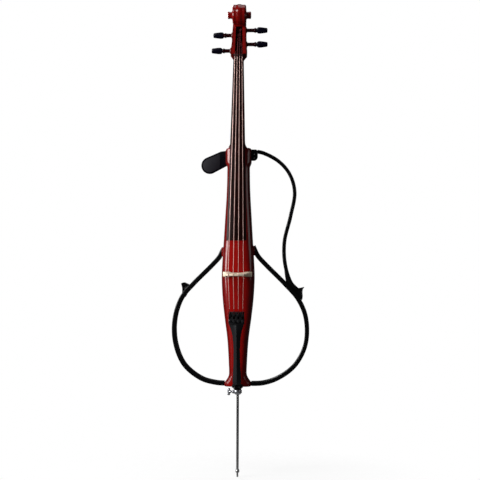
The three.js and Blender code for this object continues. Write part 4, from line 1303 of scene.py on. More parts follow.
LEVER_SIDE = [
    (-11.5, -12), (-11.5, -5), (-8, -5), (-5, -7), (-1.5, -6.2), (0.6, -6.9), (1.8, -8.5),
    (2.2, -11.5), (0.6, -14), (-0.4, -33), (-2.7, -33), (-3, -21.5), (-5, -14), (-8, -12),
]  # fmt: skip
SCREW_PROFILE = [
    (0, -18), (3.4, -18), (4.0, -17.7), (4.25, -17), (4.25, -13.2), (3.9, -12.2), (2.6, -11.6),
    (2.2, -11.3), (2.2, -3.6), (1.6, -3.1), (0, -3.1),
]  # fmt: skip
for name, x in TAIL_X.items():
    lever = softened(slab(f"tuner_{name}_arm", "yz", LEVER_SIDE, x - 3, x + 3), 0.5, 2)
    lever = carved(lever, block((x - 0.9, -14, -9), (x + 0.9, -7.4, -3)))
    done(lean(lever), tail_resin, f"tuner_lever_{name}", "resin", f"tuner_lever_{name}")
    screw = lathe("screw", "y", (x, 0, -27), SCREW_PROFILE, 32)
    grip = ribbed((x, -15.1, -27), 4.3, 3.6, 0.5, 20)
    screw = gathered(f"tuner_{name}_screw", screw, grip)
    done(lean(screw), tail_resin, f"tuner_screw_{name}", "resin", f"tuner_screw_{name}")

# %% [markdown]
# ## Strings
# The strings are taut, so each is a straight run between its hook, the bridge, the nut and
# its peg: a tube with a ring at every bend. The ends are wrapped in coloured silk. On the peg
# the string is wound in a coil, which belongs to the peg and turns with it.

# %% Strings


def tube(name, path, radius, sides):
    """A tube along a path that bends a little at each point, storing its distance along."""
    path = [Vector(p) for p in path]
    rings, distances, walked = [], [], 0.0
    side = None
    for i, point in enumerate(path):
        before = (point - path[i - 1]).normalized() if i else (path[1] - point).normalized()
        after = (path[i + 1] - point).normalized() if i + 1 < len(path) else before
        walked += (point - path[i - 1]).length if i else 0.0
        heading = (before + after).normalized()
        if side is None:
            side = heading.orthogonal().normalized()
        side = (side - heading * side.dot(heading)).normalized()
        up = heading.cross(side)
        rings.append([point + side * a + up * b for a, b in circle(radius, sides)])
        distances += [walked * MM] * sides
    piece = loft(name, rings)
    store(piece, "along", distances)
    return piece


BRIDGE_GAP = 15.8
NUT_EXIT_Z = nut_top + 1.3
STRING_SPREAD = 0.85  # the strings draw together above the nut
STRING_SIDES = 12
SILK = [1, 1, 0, 0, 0, 1, 1, 1]  # at each bend, 1 where silk covers the string
string_steel = string_finish("string_steel", "#5a1418")
for i, (name, radius) in enumerate(STRING_RADIUS.items()):
    peg = PEGS[name]
    x_bridge, x_nut = (i - 1.5) * BRIDGE_GAP, (i - 1.5) * NUT_GAP
    hook = Vector(tail_point(TAIL_X[name], -9.6, -4.7))
    over_bridge = Vector((x_bridge, BRIDGE_STRING_Y + arch(x_bridge), BRIDGE_Z))
    over_nut = Vector((x_nut, NUT_STRING_Y + arch(x_nut), NUT_EXIT_Z))
    to_peg = Vector((x_nut * STRING_SPREAD, peg["y"] - 6.4 - radius, peg["z"] + 1))
    silk_ends = [hook.lerp(over_bridge, share) for share in (0.13, 0.135)]
    silk_starts = [over_bridge.lerp(over_nut, share) for share in (0.985, 0.986)]
    path = [hook, *silk_ends, over_bridge, *silk_starts, over_nut, to_peg]
    string = tube(f"string_{name}_wound", path, radius, STRING_SIDES)
    store(string, "silk", [value for value in SILK for _ in range(STRING_SIDES)])
    done(string, string_steel, "instrument", "string", f"string_{name}")

# %% [markdown]
# On a peg the string's end is wound in a coil. It could be built from rings like the string,
# but Geometry Nodes have a spiral that keeps its radius, which is the coil's middle line, and
# a small circle swept along it gives the rest.

# %% Windings on the pegs
winding = Recipe(
    "string_wound_on_a_peg",
    Radius=float, Gauge=float, Turns=float, Width=float, Place=tuple,
    Finish=bpy.types.Material,
)  # fmt: skip
coil = winding.node(
    "GeometryNodeCurveSpiral",
    Resolution=28, Rotations=winding.given("Turns"), Height=winding.given("Width"),
    Start_Radius=winding.given("Radius"), End_Radius=winding.given("Radius"),
)  # fmt: skip
gauge = winding.node(
    "GeometryNodeCurvePrimitiveCircle", Resolution=8, Radius=winding.given("Gauge")
)
wire = winding.node("GeometryNodeCurveToMesh", Curve=coil, Profile_Curve=gauge, Fill_Caps=True)
winding.serve(
    winding.node(
        "GeometryNodeTransform", Geometry=wire,
        Translation=winding.given("Place"), Rotation=(0, math.radians(90), 0),
    )
)  # fmt: skip
silk_thread = moulded("silk_thread", "#3d0c10", "#6b1c20", 0.55, 2500.0, 0.03)
TURNS = 3.5
WELL_REACH = 9.0  # a coil stays this close to the pegbox's middle
PEG_RADIUS = 5.75  # inside the pegbox
for i, (name, radius) in enumerate(STRING_RADIUS.items()):
    peg = PEGS[name]
    coil_width = TURNS * (2 * radius + 0.15)
    start = (i - 1.5) * NUT_GAP * STRING_SPREAD - coil_width / 2
    start = min(max(start, -WELL_REACH), WELL_REACH - coil_width)
    coil_piece = winding.cook(
        f"winding_{name}",
        Radius=(PEG_RADIUS + radius) * MM, Gauge=radius * MM, Turns=TURNS, Width=coil_width * MM,
        Place=(start * MM, peg["y"] * MM, peg["z"] * MM), Finish=silk_thread.material,
    )  # fmt: skip
    done(coil_piece, None, f"peg_{name}", "string")

# %% [markdown]
# ## Tail gut and end pin
# The tail gut is a stiff loop from the tailpiece, over the saddle and round the end-pin plug.
# The plug is turned ebony, the clamp is chromed brass with a wing screw, and the pin is a
# steel rod with a ferrule and a point.

# %% Tail gut
half_gut = [
    tail_point(6, 1, -TAIL_LENGTH + 11), tail_point(6, 1, -TAIL_LENGTH - 1),
    (7, -38.7, 292), (7.5, -38.7, 285), (9, -35.5, 283.5), (15, -3, 284), (14.2, 8, 284),
    (8.5, 14, 284),
]  # fmt: skip
gut_line = [*half_gut, *[(-x, y, z) for x, y, z in reversed(half_gut)]]
gut = tube("tail_gut", through(gut_line, 6), 1.25, 14)
done(gut, gut_plastic, "instrument", "resin", "tailgut")

# %% End pin
PLUG = [
    (4.4, 276.8), (10.4, 276.8), (11.2, 277.4), (12.2, 281), (12.2, 286.2), (12.9, 286.9),
    (14.6, 287.2), (15, 287.7), (9, 287.7), (8.6, 304.6), (8.2, 305), (4.4, 305),
]  # fmt: skip
plug = lathe("endpin_plug_turned", "z", (0, 0, 0), PLUG, 56, loop=True)
done(plug, plain_ebony, "instrument", "ebony", "endpin_plug")

CLAMP_Z = 270.0
CLAMP = [
    (4.4, 261), (7, 261), (7.8, 261.3), (12.5, 266.2), (13, 267.2), (13, 274.6), (12.6, 275.6),
    (11.6, 276.5), (4.4, 276.5),
]  # fmt: skip
clamp = lathe("endpin_clamp_ring", "z", (0, 0, 0), CLAMP, 64, loop=True)
spout = [(0, -5), (6, -5), (6, -15), (5.4, -16.6), (5, -17), (0, -17)]
clamp = carved(clamp, lathe("spout", "x", (0, 0, CLAMP_Z), spout, 40), how="UNION")
carved(clamp, drill("z", (0, 0, 255), 30, 4.4, 64), drill("x", (-30, 0, CLAMP_Z), 26, 2.9))
done(clamp, clamp_chrome, "instrument", "chrome", "endpin_clamp")

# %% Wing screw
STEM = [
    (0, -27.5), (2.4, -27.2), (3.2, -25.4), (5.0, -23.6), (5.0, -22.6), (3.4, -20.6), (2.5, -19.5),
    (2.4, -5), (1.9, -4.35), (0, -4.35),
]  # fmt: skip
stem = lathe("stem", "x", (0, 0, CLAMP_Z), STEM, 32)
WING = [(0, -11.5), (3.0, -11.3), (4.0, -10.4), (4.4, -8.4), (4.3, -3.6), (4.2, 0)]
wing_profile = [*WING, *[(r, -d) for r, d in reversed(WING[:-1])]]
wing = lathe("wing", "z", (-28.5, 0, CLAMP_Z), wing_profile, 32)
for v in wing.data.vertices:
    v.co.y *= 0.62
wing_screw = gathered("endpin_wing_screw", stem, wing)
done(wing_screw, clamp_chrome, "endpin_screw", "chrome", "endpin_screw")

# %% Rod, ferrule and point
PIN = [(0, 25), (4, 25), (4, 479), (3.2, 480), (0, 480)]
pin = lathe("endpin_rod_drawn", "z", (0, 0, 0), PIN, 40)
done(pin, pin_steel, "endpin", "steel", "endpin_rod")
FERRULE = [
    (0, 13.3), (3.6, 13.3), (5.6, 14.6), (6.2, 16), (6.2, 17.4), (5.8, 17.8), (6.2, 18.2),
    (6.2, 21.4), (5.6, 22.6), (4.5, 24.4), (4.2, 24.7), (0, 24.7),
]  # fmt: skip
ferrule = lathe("endpin_ferrule_turned", "z", (0, 0, 0), FERRULE, 40)
done(ferrule, pin_steel, "endpin", "steel", "endpin_ferrule")
POINT = [(0, 0), (2.2, 0), (2.9, 1.2), (2.9, 13), (0, 13)]
point = lathe("endpin_foot", "z", (0, 0, 0), POINT, 32)
done(point, pin_steel, "endpin", "steel", "endpin_point")

# %% [markdown]
# ## Bent frames
# Each frame is a strip bent in one plane, so it follows a path and suits Geometry Nodes. The
# path is a flat chain of points, and a rounded rectangle is swept along it. The chain is laid
# out flat, where a curve keeps its section upright, and the recipe stands the result up.

# %% Strip recipe
strip = Recipe(
    "strip_bent_along_a_line",
    Thickness=float, Depth=float, Rounding=float, Sections=int, Middle=float,
    Finish=bpy.types.Material,
)  # fmt: skip
line = strip.node("GeometryNodeMeshToCurve", Mesh=strip.given())
even = strip.node("GeometryNodeResampleCurve", Curve=line, Count=strip.given("Sections"))
level = strip.node("GeometryNodeSetCurveNormal", {"mode": "Z_UP"}, Curve=even)
section = strip.node(
    "GeometryNodeCurvePrimitiveQuadrilateral",
    Width=strip.given("Thickness"), Height=strip.given("Depth"),
)  # fmt: skip
rounded = strip.node(
    "GeometryNodeFilletCurve", {"mode": "POLY"}, Curve=section, Count=4,
    Radius=strip.given("Rounding"), Limit_Radius=True,
)  # fmt: skip
swept = strip.node("GeometryNodeCurveToMesh", Curve=level, Profile_Curve=rounded, Fill_Caps=True)
shift = strip.node("ShaderNodeCombineXYZ", Y=strip.given("Middle"))
strip.serve(
    strip.node(
        "GeometryNodeTransform", Geometry=swept, Translation=shift,
        Rotation=(math.radians(90), 0, 0),
    )
)  # fmt: skip


def bent(name, points, thickness, depth):
    flat = [(x, z, 0) for x, z in through(points, 12)]
    chain = mesh_in_mm(name, flat, [(i, i + 1) for i in range(len(flat) - 1)])
    return strip.cook(
        name, chain,
        Thickness=thickness * MM, Depth=depth * MM, Rounding=2.6 * MM, Sections=150,
        Middle=FRAME_Y * MM, Finish=frame_lacquer.material,
    )  # fmt: skip


# %% Frame lines
LEFT_LINE = [
    (-38, 736), (-50, 717), (-60, 697), (-84.5, 669.5), (-142.5, 611.5), (-179.5, 567), (-201, 500),
    (-199, 425), (-171, 356), (-117, 312), (-70, 298.5), (-30, 296),
]  # fmt: skip
RIGHT_LINE = [
    (41, 746), (52, 721), (62, 701), (89.5, 671), (147.5, 613.5), (190.5, 564.5), (215, 505),
    (214, 421), (180.5, 355), (128, 315), (80, 298.5), (30, 296),
]  # fmt: skip
UPPER_LINE = [
    (50, 1032.5), (78, 1027), (129, 999), (163, 958), (178, 903), (165, 826), (146, 745),
    (149, 672), (168, 615), (186, 596),
]  # fmt: skip
STRIP_DEPTH, STRIP_THICK = 32.0, 14.0
UPPER_DEPTH, UPPER_THICK = 28.0, 11.5
HORN_DEEP = 13.0  # half depth of the corners and of the web between the strips
print("lower strips", STRIP_THICK, "mm thick, upper strip", UPPER_THICK, "mm")

# %% [markdown]
# Each lower strip is trimmed where it meets the body and gets a tongue at both ends, which
# fits a slot in the body. The upper strip ends in the right-hand corner, on a small web.

# %% Frames


def tongue(x0, x1, z):
    deep, high = TONGUE[0] - 0.3, TONGUE[1] - 0.3
    shape = block((x0, FRAME_Y - deep, z - high), (x1, FRAME_Y + deep, z + high), "tongue")
    return softened(shape, 0.6, 2)


def lower_frame(name, points, side, face, z):
    """A lower strip, trimmed where it meets the body, with a tongue at each end."""
    frame_piece = bent(name, points, STRIP_THICK, STRIP_DEPTH)
    trims = [
        block((0, -60, 640), (side * face, 60, 820)),
        block((0, -60, 250), (side * 42.8, 60, 330)),
    ]
    carved(frame_piece, *trims)
    tongues = [
        tongue(side * (face - 17.3), side * (face + 5.7), z),
        tongue(side * 28.5, side * 46, FOOT_SLOT_Z),
    ]
    return gathered(name, frame_piece, *tongues)


left = lower_frame("left_frame_strip", LEFT_LINE, -1, 52.8, SOCKET_Z["left"])
done(left, frame_lacquer, "left_frame", "frame", "frame_left")
right = lower_frame("right_frame_strip", RIGHT_LINE, 1, 53.3, SOCKET_Z["right"])
done(right, frame_lacquer, "right_frame", "frame", "frame_right")
upper = bent("upper_frame_strip", UPPER_LINE, UPPER_THICK, UPPER_DEPTH)
carved(upper, block((0, -60, 960), (60.3, 60, 1100)))
web_line = [(146, 655), (151, 655), (168, 618), (184, 597), (178, 580), (152.5, 612)]
web = softened(slab("web", "xz", web_line, FRAME_Y - HORN_DEEP, FRAME_Y + HORN_DEEP), 2.4, 3)
upper = gathered("upper_frame_strip", upper, web, tongue(50, 64, SOCKET_Z["shoulder"]))
done(upper, frame_lacquer, "right_frame", "frame", "frame_upper_right")

# %% [markdown]
# The corners are small horns that echo an acoustic cello's points. Each is a flat outline
# with its edges well rounded. The left one's front face is dished so that it catches the
# light, and the right one's is nearly flat.

# %% Corner horns
LEFT_HORN = [
    (-181, 613), (-176.5, 614.9), (-171, 615.3), (-163, 612), (-152, 605.5), (-158, 588),
    (-172, 566), (-179, 572), (-177.6, 586), (-178, 600),
]  # fmt: skip
RIGHT_HORN = [
    (209.5, 602.5), (205.6, 596.6), (203.8, 586), (204.6, 574), (202, 562), (190, 568),
    (176, 588), (184, 598.6), (196, 600),
]  # fmt: skip


def horn(name, outline, dish):
    """A rounded slab whose front is dished towards a point that is set to the upper left."""
    rough = [Vector(p) for p in through(outline, 3, closed=True)]
    front, rear = FRAME_Y - HORN_DEEP, FRAME_Y + HORN_DEEP
    middle = sum(rough, Vector((0, 0))) / len(rough)
    deepest = middle + Vector((-4.0, 3.0))
    steps = [(front + dish, 0.12, deepest), (front + 0.8, 0.74, deepest), (front, 0.86, middle)]
    steps += [(front + 0.4, 0.96, middle), (front + 1.6, 1, middle)]
    steps += [(rear - 1.6, 1, middle), (rear - 0.4, 0.96, middle), (rear, 0.86, middle)]
    steps += [(rear - 0.8, 0.74, middle), (rear - dish / 3, 0.12, middle)]
    rings = []
    for y, grow, towards in steps:
        rings.append([(x, y, z) for x, z in (towards.lerp(p, grow) for p in rough)])
    return loft(name, rings)


left_horn = horn("left_horn", LEFT_HORN, 6.5)
done(left_horn, frame_lacquer, "left_frame", "frame", "corner_left", crease=50)
right_horn = horn("right_horn", RIGHT_HORN, 1.2)
done(right_horn, frame_lacquer, "right_frame", "frame", "corner_right", crease=50)

# %% [markdown]
# ## Sockets and knobs
# Each frame plugs into a socket on the side of the body and is held from behind by a knob.
# The two lower sockets are varnished like the body, and the shoulder bracket is black. Small
# screws hold the bracket: one screw is turned once and Geometry Nodes sets copies on points.

# %% Screw recipe
one_screw = lathe(
    "one_screw", "y", (0, 0, 0),
    [(0, -1.0), (1.4, -0.95), (2.3, -0.6), (2.7, 0), (2.7, 0.5), (0, 0.5)], 20,
)  # fmt: skip
carved(one_screw, block((-0.3, -3, -4), (0.3, -0.45, 4)))
screws = Recipe(
    "screws_on_points", Screw=bpy.types.Object, Facing=tuple, Finish=bpy.types.Material
)
source = screws.node("GeometryNodeObjectInfo", output="Geometry", Object=screws.given("Screw"))
screws.serve(
    screws.node(
        "GeometryNodeInstanceOnPoints", Points=screws.given(), Instance=source,
        Rotation=screws.given("Facing"),
    )
)  # fmt: skip


def screwed(name, points, half_turn=False):
    """Screws at points. Their heads look forwards, or to the rear after a half turn."""
    piece = screws.cook(
        name, mesh_in_mm(name, points),
        Screw=one_screw, Facing=(0.0, 0.0, math.pi if half_turn else 0.0),
        Finish=small_steel.material,
    )  # fmt: skip
    return done(piece, None, "instrument", "steel")


# %% Sockets
SOCKET_Y = (-10.0, 22.0)


def side_socket(end, side, face, low, high):
    """The varnished socket at one end of a lower frame, from the body's side out to face."""
    near, far_corner = (side * 43, SOCKET_Y[0], low), (side * face, SOCKET_Y[1], high)
    shape = softened(block(near, far_corner, f"{end}_socket_plate"), 2.4, 4)
    carved(shape, tongue_slot(side * 38, side * 60, SOCKET_Z[end]))
    store(shape, "rim", [0.75] * len(shape.data.vertices))
    done(shape, body_varnish, "instrument", "varnish", f"socket_{end}")


side_socket("left", -1, 52.5, 698, 728)
side_socket("right", 1, 53, 702, 733)

BRACKET_X = 53.5  # where the shoulder knob stands
bracket_line = [
    (38, 1003), *arc(47, 1016, 13, -90, 0, 10), (60, 1034), (56.5, 1037.5), (38, 1037.5),
]  # fmt: skip
bracket = softened(slab("shoulder_socket", "xz", bracket_line, *SOCKET_Y), 1.6, 3)
knob_hole = drill("y", (BRACKET_X, FRAME_Y, SOCKET_Z["shoulder"]), 40, 2.8)
carved(bracket, tongue_slot(44, 70, SOCKET_Z["shoulder"]), knob_hole)
done(bracket, frame_lacquer, "instrument", "frame", "shoulder_bracket")
screwed("shoulder_screws", [(50, SOCKET_Y[0], 1010), (50, SOCKET_Y[0], 1022)])

# %% [markdown]
# A frame's knob stands behind the body and its thin shaft runs in through the tongue. It is
# turned, and the ribs for the fingers are added with the recipe from the fine tuners. Both
# are joined into one mesh, because the knob turns as a whole.

# %% Frame knobs
# (frame's end, distance across, where the knob meets the wood)
KNOBS = [("left", -KNOB_X, 36.6), ("right", KNOB_X, 36.6), ("shoulder", BRACKET_X, 22)]
for name, x, seat in KNOBS:
    z = SOCKET_Z[name]
    profile = [
        (0, 15.3), (1.9, 15.3), (2.3, 16), (2.3, seat + 1), (4.4, seat + 1.4), (5.4, seat + 3),
        (5.4, seat + 9.4), (4.8, seat + 10.4), (3.4, seat + 11), (2.6, seat + 10.6),
        (0, seat + 10.4),
    ]  # fmt: skip
    core = lathe("core", "y", (x, 0, z), profile, 36)
    grip = ribbed((x, seat + 6.2, z), 5.4, 6.2, 0.9, 18)
    knob = gathered(f"knob_{name}_ribbed", core, grip)
    done(knob, tail_resin, f"knob_{name}", "resin", f"frame_knob_{name}")

# %% [markdown]
# ## Chest pad
# The pad is a paddle that swings out from behind the shoulder. Its front is a black rim
# round a recessed rubber panel, and its back, which rests on the player, is a padded cushion
# with a row of stitches.

# %% Paddle
PIVOT = (-18.0, 1026.0)
DROOP = math.radians(205.6)  # which way the paddle points from its pivot
REACH, END, WAIST = 85.5, 27.0, 25.0  # to the round end's centre, its radius, half width
HUB, FULL_FROM = 14.0, 34.0  # radius round the pivot, and where the full width starts
ARM_Y = (38.6, 46.6)
PIVOT_HOLE = 4.4


def paddle(start, inset, steps=28):
    """The paddle's outline, drawn in by inset, from its pivot or from start outwards."""
    end = arc(REACH, 0, END - inset, -90, 90, steps)
    narrow = WAIST - inset
    if start:
        root_end = [(start, narrow), (start, -narrow)]
    else:
        root_end = [(FULL_FROM, narrow), *arc(0, 0, HUB, 90, 270, 16), (FULL_FROM, -narrow)]
    c, s = math.cos(DROOP), math.sin(DROOP)
    return [(PIVOT[0] + u * c - v * s, PIVOT[1] + u * s + v * c) for u, v in [*end, *root_end]]


arm = softened(slab("pad_arm", "xz", paddle(0, 0), *ARM_Y), 1.8, 4)
PANEL_EDGE = -62.0  # the recess ends in an upright line


def left_of(outline, limit):
    """The part of an outline that lies to the left of an upright line."""
    kept = []
    for (x0, z0), (x1, z1) in zip(outline, [*outline[1:], outline[0]]):
        if x0 <= limit:
            kept.append((x0, z0))
        if (x0 <= limit) != (x1 <= limit):
            kept.append((limit, mix(z0, z1, (limit - x0) / (x1 - x0))))
    return kept


inner = left_of(paddle(36, 4.6), PANEL_EDGE)
recess = slab("recess", "xz", inner, ARM_Y[0] - 5, ARM_Y[0] + 1.6)
pivot_hole = drill("y", (PIVOT[0], 30, PIVOT[1]), 30, PIVOT_HOLE)
carved(arm, recess, pivot_hole)
done(arm, pad_resin, "chest_pad", "resin", "chest_pad_arm")
grip_line = left_of(paddle(36, 5.2), PANEL_EDGE - 0.6)
grip_panel = slab("pad_grip_panel", "xz", grip_line, ARM_Y[0] + 0.5, ARM_Y[0] + 1.7)
done(softened(grip_panel, 0.4, 2), grip_rubber, "chest_pad", "rubber")

# %% [markdown]
# The cushion is foam under leathercloth. It starts as a slim crowned form, and the cloth
# simulation then inflates it a little, which draws its sides in and rounds its edge.

# %% Cushion
CUSHION_Y = (46.9, 57.4)
cushion_line = paddle(38, 2.4, 40)


def cushion_rings(outline):
    """The outline at each depth, drawn in towards its centre to a share of its size."""
    low, high = CUSHION_Y
    middle = Vector((sum(x for x, _ in outline), sum(z for _, z in outline))) / len(outline)
    steps = [
        (low, 0.3), (low, 0.7), (low, 0.93), (low + 0.8, 0.985), (low + 3.4, 1.0),
        (low + 6, 0.985), (high - 2.6, 0.94), (high - 1.4, 0.86), (high - 0.7, 0.7),
        (high - 0.3, 0.45), (high - 0.2, 0.2),
    ]  # fmt: skip
    rings = []
    for y, share in steps:
        drawn_in = [middle.lerp(Vector(p), share) for p in outline]
        rings.append([(x, y, z) for x, z in drawn_in])
    return rings


cushion = loft("pad_cushion", cushion_rings(cushion_line))

# %% [markdown]
# For the simulation the form is remeshed evenly. Its flat side is pinned, as if glued to the
# paddle, a little pressure fills it, and no point may move further than a real pad swells.

# %% Inflating the cushion
remesh = cushion.modifiers.new("even", "REMESH")
remesh.mode, remesh.voxel_size = "VOXEL", 2.4 * MM
settle(cushion)
rest = [v.co.copy() for v in cushion.data.vertices]
pinned = cushion.vertex_groups.new(name="glued")
seat = CUSHION_Y[0] * MM + 0.9 * MM
pinned.add([v.index for v in cushion.data.vertices if v.co.y < seat], 1.0, "REPLACE")
cloth = cushion.modifiers.new("cloth", "CLOTH")
cloth.settings.use_pressure = True
cloth.settings.uniform_pressure_force = 4.0
cloth.settings.vertex_group_mass = "glued"
cloth.settings.effector_weights.gravity = 0.0
scene = bpy.context.scene
for moment in range(1, 21):
    scene.frame_set(moment)
settle(cushion)
scene.frame_set(1)
MOST = 0.6 * MM  # how far a point may swell
for v, start in zip(cushion.data.vertices, rest):
    step = v.co - start
    v.co = start + step * min(1.0, MOST / max(step.length, 1e-9))
tidy(cushion)
done(cushion, pad_cloth, "chest_pad", "rubber", "chest_pad_cushion", crease=60)

# %% [markdown]
# Stitches follow the cushion's edge. Geometry Nodes walks the line at an even pitch and sets
# one small rounded thread on each point, turned along the line.

# %% Stitches
stitch = Recipe(
    "stitches_along_a_line", Pitch=float, Length=float, Gauge=float, Finish=bpy.types.Material
)
sewn = stitch.node("GeometryNodeMeshToCurve", Mesh=stitch.given())
paced = stitch.node(
    "GeometryNodeCurveToPoints", {"mode": "LENGTH"}, Curve=sewn, Length=stitch.given("Pitch")
)
size = stitch.node(
    "ShaderNodeCombineXYZ",
    X=stitch.given("Gauge"), Y=stitch.given("Gauge"), Z=stitch.given("Length"),
)  # fmt: skip
thread = stitch.node("GeometryNodeMeshUVSphere", Segments=8, Rings=6, Radius=0.5)
aligned = stitch.node(
    "FunctionNodeAlignRotationToVector", {"axis": "Z"}, Vector=paced.node.outputs["Tangent"]
)
stitch.serve(
    stitch.node(
        "GeometryNodeInstanceOnPoints", Points=paced, Instance=thread, Rotation=aligned, Scale=size
    )
)
seam = [(x, CUSHION_Y[1] - 1.5, z) for x, z in paddle(41.5, 6.0, 40)]
count = len(seam)
sewing = stitch.cook(
    "pad_stitches", mesh_in_mm("seam", seam, [(i, (i + 1) % count) for i in range(count)]),
    Pitch=3.4 * MM, Length=2.5 * MM, Gauge=0.7 * MM, Finish=grip_rubber.material,
)  # fmt: skip
done(sewing, None, "chest_pad", "rubber")

# %% [markdown]
# A plate on the body carries the pad, and the bolt through both is what the pad swings on.
# The plate is a softened slab with a hole, and the bolt is one turned profile with a slot
# sawn into its head.

# %% Pad bracket and pivot
plate_line = [(-36, 1008), (2, 1008), (2, 1040), (-36, 1040)]
plate = softened(slab("pad_bracket_plate", "xz", plate_line, 31.3, 38.3), 1.4, 3)
carved(plate, drill("y", (PIVOT[0], 25, PIVOT[1]), 30, PIVOT_HOLE))
done(plate, pad_resin, "instrument", "resin", "chest_pad_bracket")
PIVOT_PROFILE = [
    (0, 31.8), (4, 31.8), (4, 47.1), (7.6, 47.1), (8, 47.5), (8, 48.7), (7.4, 49.4), (4.4, 50.3),
    (3.6, 49.8), (0, 49.8),
]  # fmt: skip
pivot = lathe("pad_pivot_bolt", "y", (PIVOT[0], 0, PIVOT[1]), PIVOT_PROFILE, 40)
carved(pivot, block((PIVOT[0] - 3, 49.2, PIVOT[1] - 0.6), (PIVOT[0] + 3, 52, PIVOT[1] + 0.6)))
done(pivot, small_steel, "instrument", "steel", "chest_pad_pivot")

# %% [markdown]
# ## Electronics on the back
# A panel on the flat of the back carries the volume knob, two slide switches and two
# sockets. Below it a sliding door covers the two cells. The panel is a plate with its corners
# rounded and its openings cut out; everything on it is a separate piece.

# %% Panel
PANEL_Y = (36.3, 38.8)
DIAL_Z = 882
# (distance across of the thumb piece, height, half width of the slot)
SWITCHES = {"reverb_switch": (0, 852, 7), "power_switch": (-2.5, 830, 6)}
SLOT_HIGH = 2.6
# (distance across, height, radius, radius of the hole, depth of the hole)
JACKS = {"line_out": (10, 785, 7.5, 3.3, 14.0), "phones": (-11, 785, 5.2, 1.8, 12.0)}


def rounded_plate(x0, x1, z0, z1, radius):
    """The outline of a plate with round corners."""
    line_points = []
    for cx, cz, start in ((x1, z1, 0), (x0, z1, 90), (x0, z0, 180), (x1, z0, 270)):
        ix = cx - math.copysign(radius, cx - (x0 + x1) / 2)
        iz = cz - math.copysign(radius, cz - (z0 + z1) / 2)
        line_points += arc(ix, iz, radius, start, start + 90, 6)
    return line_points


panel = softened(slab("back_panel", "xz", rounded_plate(-24, 24, 757, 907, 4), *PANEL_Y), 0.6, 2)
openings = [
    drill("y", (0, 20, DIAL_Z), 40, 3.6),
    *[block((-w, 20, z - SLOT_HIGH), (w, 60, z + SLOT_HIGH)) for _, z, w in SWITCHES.values()],
    *[drill("y", (x, 20, z), 40, outer + 0.4, 40) for x, z, outer, _, _ in JACKS.values()],
]
carved(panel, *openings)
done(panel, panel_resin, "instrument", "resin", "control_panel")
panel_edges = [(x, PANEL_Y[1] + 0.1, z) for x in (-19.5, 19.5) for z in (762, 832, 902)]
screwed("panel_screws", panel_edges, half_turn=True)

# %% [markdown]
# The dial has raised pips round it. They repeat round an arc, so they come from the same kind
# of recipe as the ribs: points, with a small dome on each.

# %% Pips round the dial
pips = Recipe("pips_on_points", Size=float, Finish=bpy.types.Material)
dome = pips.node("GeometryNodeMeshUVSphere", Segments=12, Rings=8, Radius=pips.given("Size"))
pips.serve(pips.node("GeometryNodeInstanceOnPoints", Points=pips.given(), Instance=dome))


pale_print = moulded("pale_print", "#b9b9bc", "#dcdcde", 0.5, 900.0, 0.02)
dial = [(x, PANEL_Y[1], z) for x, z in arc(0, DIAL_Z, 13.2, -45, 225, 10)]
domes = pips.cook(
    "dial_pips", mesh_in_mm("dial_pips", dial), Size=0.55 * MM, Finish=pale_print.material
)
done(domes, None, "instrument", "resin")

# %% [markdown]
# The dial is turned, with ribs round its skirt and a raised mark on its face. Each switch is
# a small grooved block in its slot, and each jack is a turned barrel that a stop closes off
# at the bottom of its hole.

# %% Volume dial
KNOB = [
    (0, 30), (3, 30), (3, 39.2), (9.0, 39.2), (9.5, 39.6), (9.5, 40.8), (8.5, 41.4), (8.0, 47.6),
    (7.4, 48.6), (6.6, 48.8), (5.6, 48.3), (0, 48.1),
]  # fmt: skip
knob = lathe("volume_dial_core", "y", (0, 0, DIAL_Z), KNOB, 56)
grip = ribbed((0, 44.5, DIAL_Z), 8.1, 5.2, 0.8, 28)
knob = gathered("volume_dial", knob, grip)
done(knob, tail_resin, "volume_knob", "resin", "volume_knob")
mark = softened(block((-0.5, 47.9, 884), (0.5, 48.8, 888.4), "dial_mark"), 0.2, 2)
done(mark, pale_print, "volume_knob", "resin")

# %% Switches
for name, (x, z, _) in SWITCHES.items():
    shape = softened(block((x - 2, 33, z - 2.2), (x + 2, 40.8, z + 2.2), f"{name}_thumb"), 0.4, 2)
    grooves = [(x + offset, 0.25) for offset in (-1.1, 0, 1.1)]
    carved(shape, *[block((g - w, 40.2, z - 3), (g + w, 42, z + 3)) for g, w in grooves])
    done(shape, tail_resin, name, "resin", name)

# %% Jacks
JACK_FRONT, JACK_REAR = 40.4, 24
for name, (x, z, outer, hole, depth) in JACKS.items():
    profile = [
        (hole, JACK_FRONT), (hole + 0.5, JACK_FRONT), (outer * 0.72, JACK_FRONT - 0.1),
        (outer * 0.78, JACK_FRONT - 0.8), (outer * 0.8, JACK_FRONT - 1.2),
        (outer, JACK_FRONT - 1.5), (outer, JACK_REAR), (hole, JACK_REAR),
    ]  # fmt: skip
    barrel = lathe("barrel", "y", (x, 0, z), profile, 48, loop=True)
    bottom = JACK_FRONT - depth
    stop_profile = [(0, JACK_REAR), (hole + 1, JACK_REAR), (hole + 1, bottom), (0, bottom)]
    stop = lathe("stop", "y", (x, 0, z), stop_profile)
    jack = gathered(f"{name}_socket", barrel, stop)
    done(jack, small_steel, "instrument", "steel", f"{name}_jack")

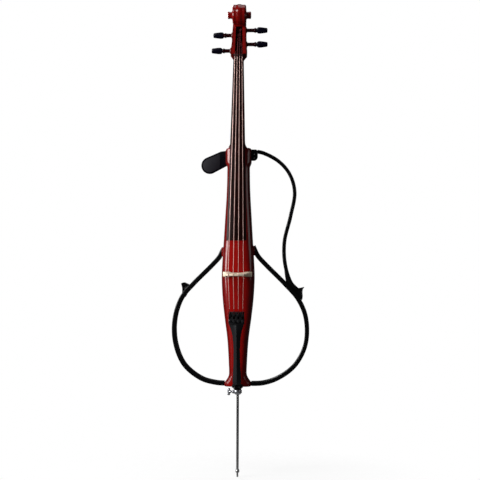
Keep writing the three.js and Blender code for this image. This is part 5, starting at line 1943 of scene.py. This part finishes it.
# %% [markdown]
# The battery door is a plate like the panel. The ridges that a thumb pushes on are one bar
# repeated along a Mesh Line. The cells behind it are turned, each with its small end cap.

# %% Battery door
door = slab("battery_cover", "xz", rounded_plate(-22, 22, 655, 735, 3), *PANEL_Y)
done(softened(door, 0.6, 2), panel_resin, "battery_door", "resin", "battery_door")

ridges = Recipe(
    "ridges_in_a_row", Count=int, Pitch=tuple, Size=tuple, Place=tuple, Finish=bpy.types.Material
)
row = ridges.node(
    "GeometryNodeMeshLine", {"mode": "OFFSET"},
    Count=ridges.given("Count"), Start_Location=ridges.given("Place"), Offset=ridges.given("Pitch"),
)  # fmt: skip
ridge_bar = ridges.node("GeometryNodeMeshCube", Size=ridges.given("Size"))
ridges.serve(ridges.node("GeometryNodeInstanceOnPoints", Points=row, Instance=ridge_bar))
grip_bars = ridges.cook(
    "cover_grip_bars",
    Count=6, Pitch=(0.0, 0.0, -2.6 * MM), Size=(22 * MM, 1.0 * MM, 1.1 * MM),
    Place=(0.0, 39.1 * MM, 728 * MM), Finish=panel_resin.material,
)  # fmt: skip
done(softened(grip_bars, 0.25, 2), None, "battery_door", "resin")

# %% Cells
for name, x in (("left", -7.8), ("right", 7.8)):
    profile = [
        (0, 669), (6.7, 669), (7.15, 669.4), (7.15, 717.6), (6.7, 718), (2.7, 718.1), (2.7, 719),
        (2.3, 719.3), (0, 719.3),
    ]  # fmt: skip
    cell = lathe(f"cell_{name}", "z", (x, 27, 0), profile, 36)
    done(cell, cell_wrap, "instrument", "battery", f"battery_{name}")

# %% [markdown]
# ## CAD nodes that stay
# A few small pieces are already the right shape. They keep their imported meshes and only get
# a finish: the plates under the bridge's feet, the tuners' axle and the circuit board.

# %% Finishes for the nodes that stay
for name, finish in (
    ("pickup_bass", warm_brass),
    ("pickup_treble", warm_brass),
    ("tuner_axle", small_steel),
    ("circuit_board", board_green),
):
    nodes[name].data.materials.clear()
    nodes[name].data.materials.append(finish.material)
bpy.data.objects.remove(one_screw)
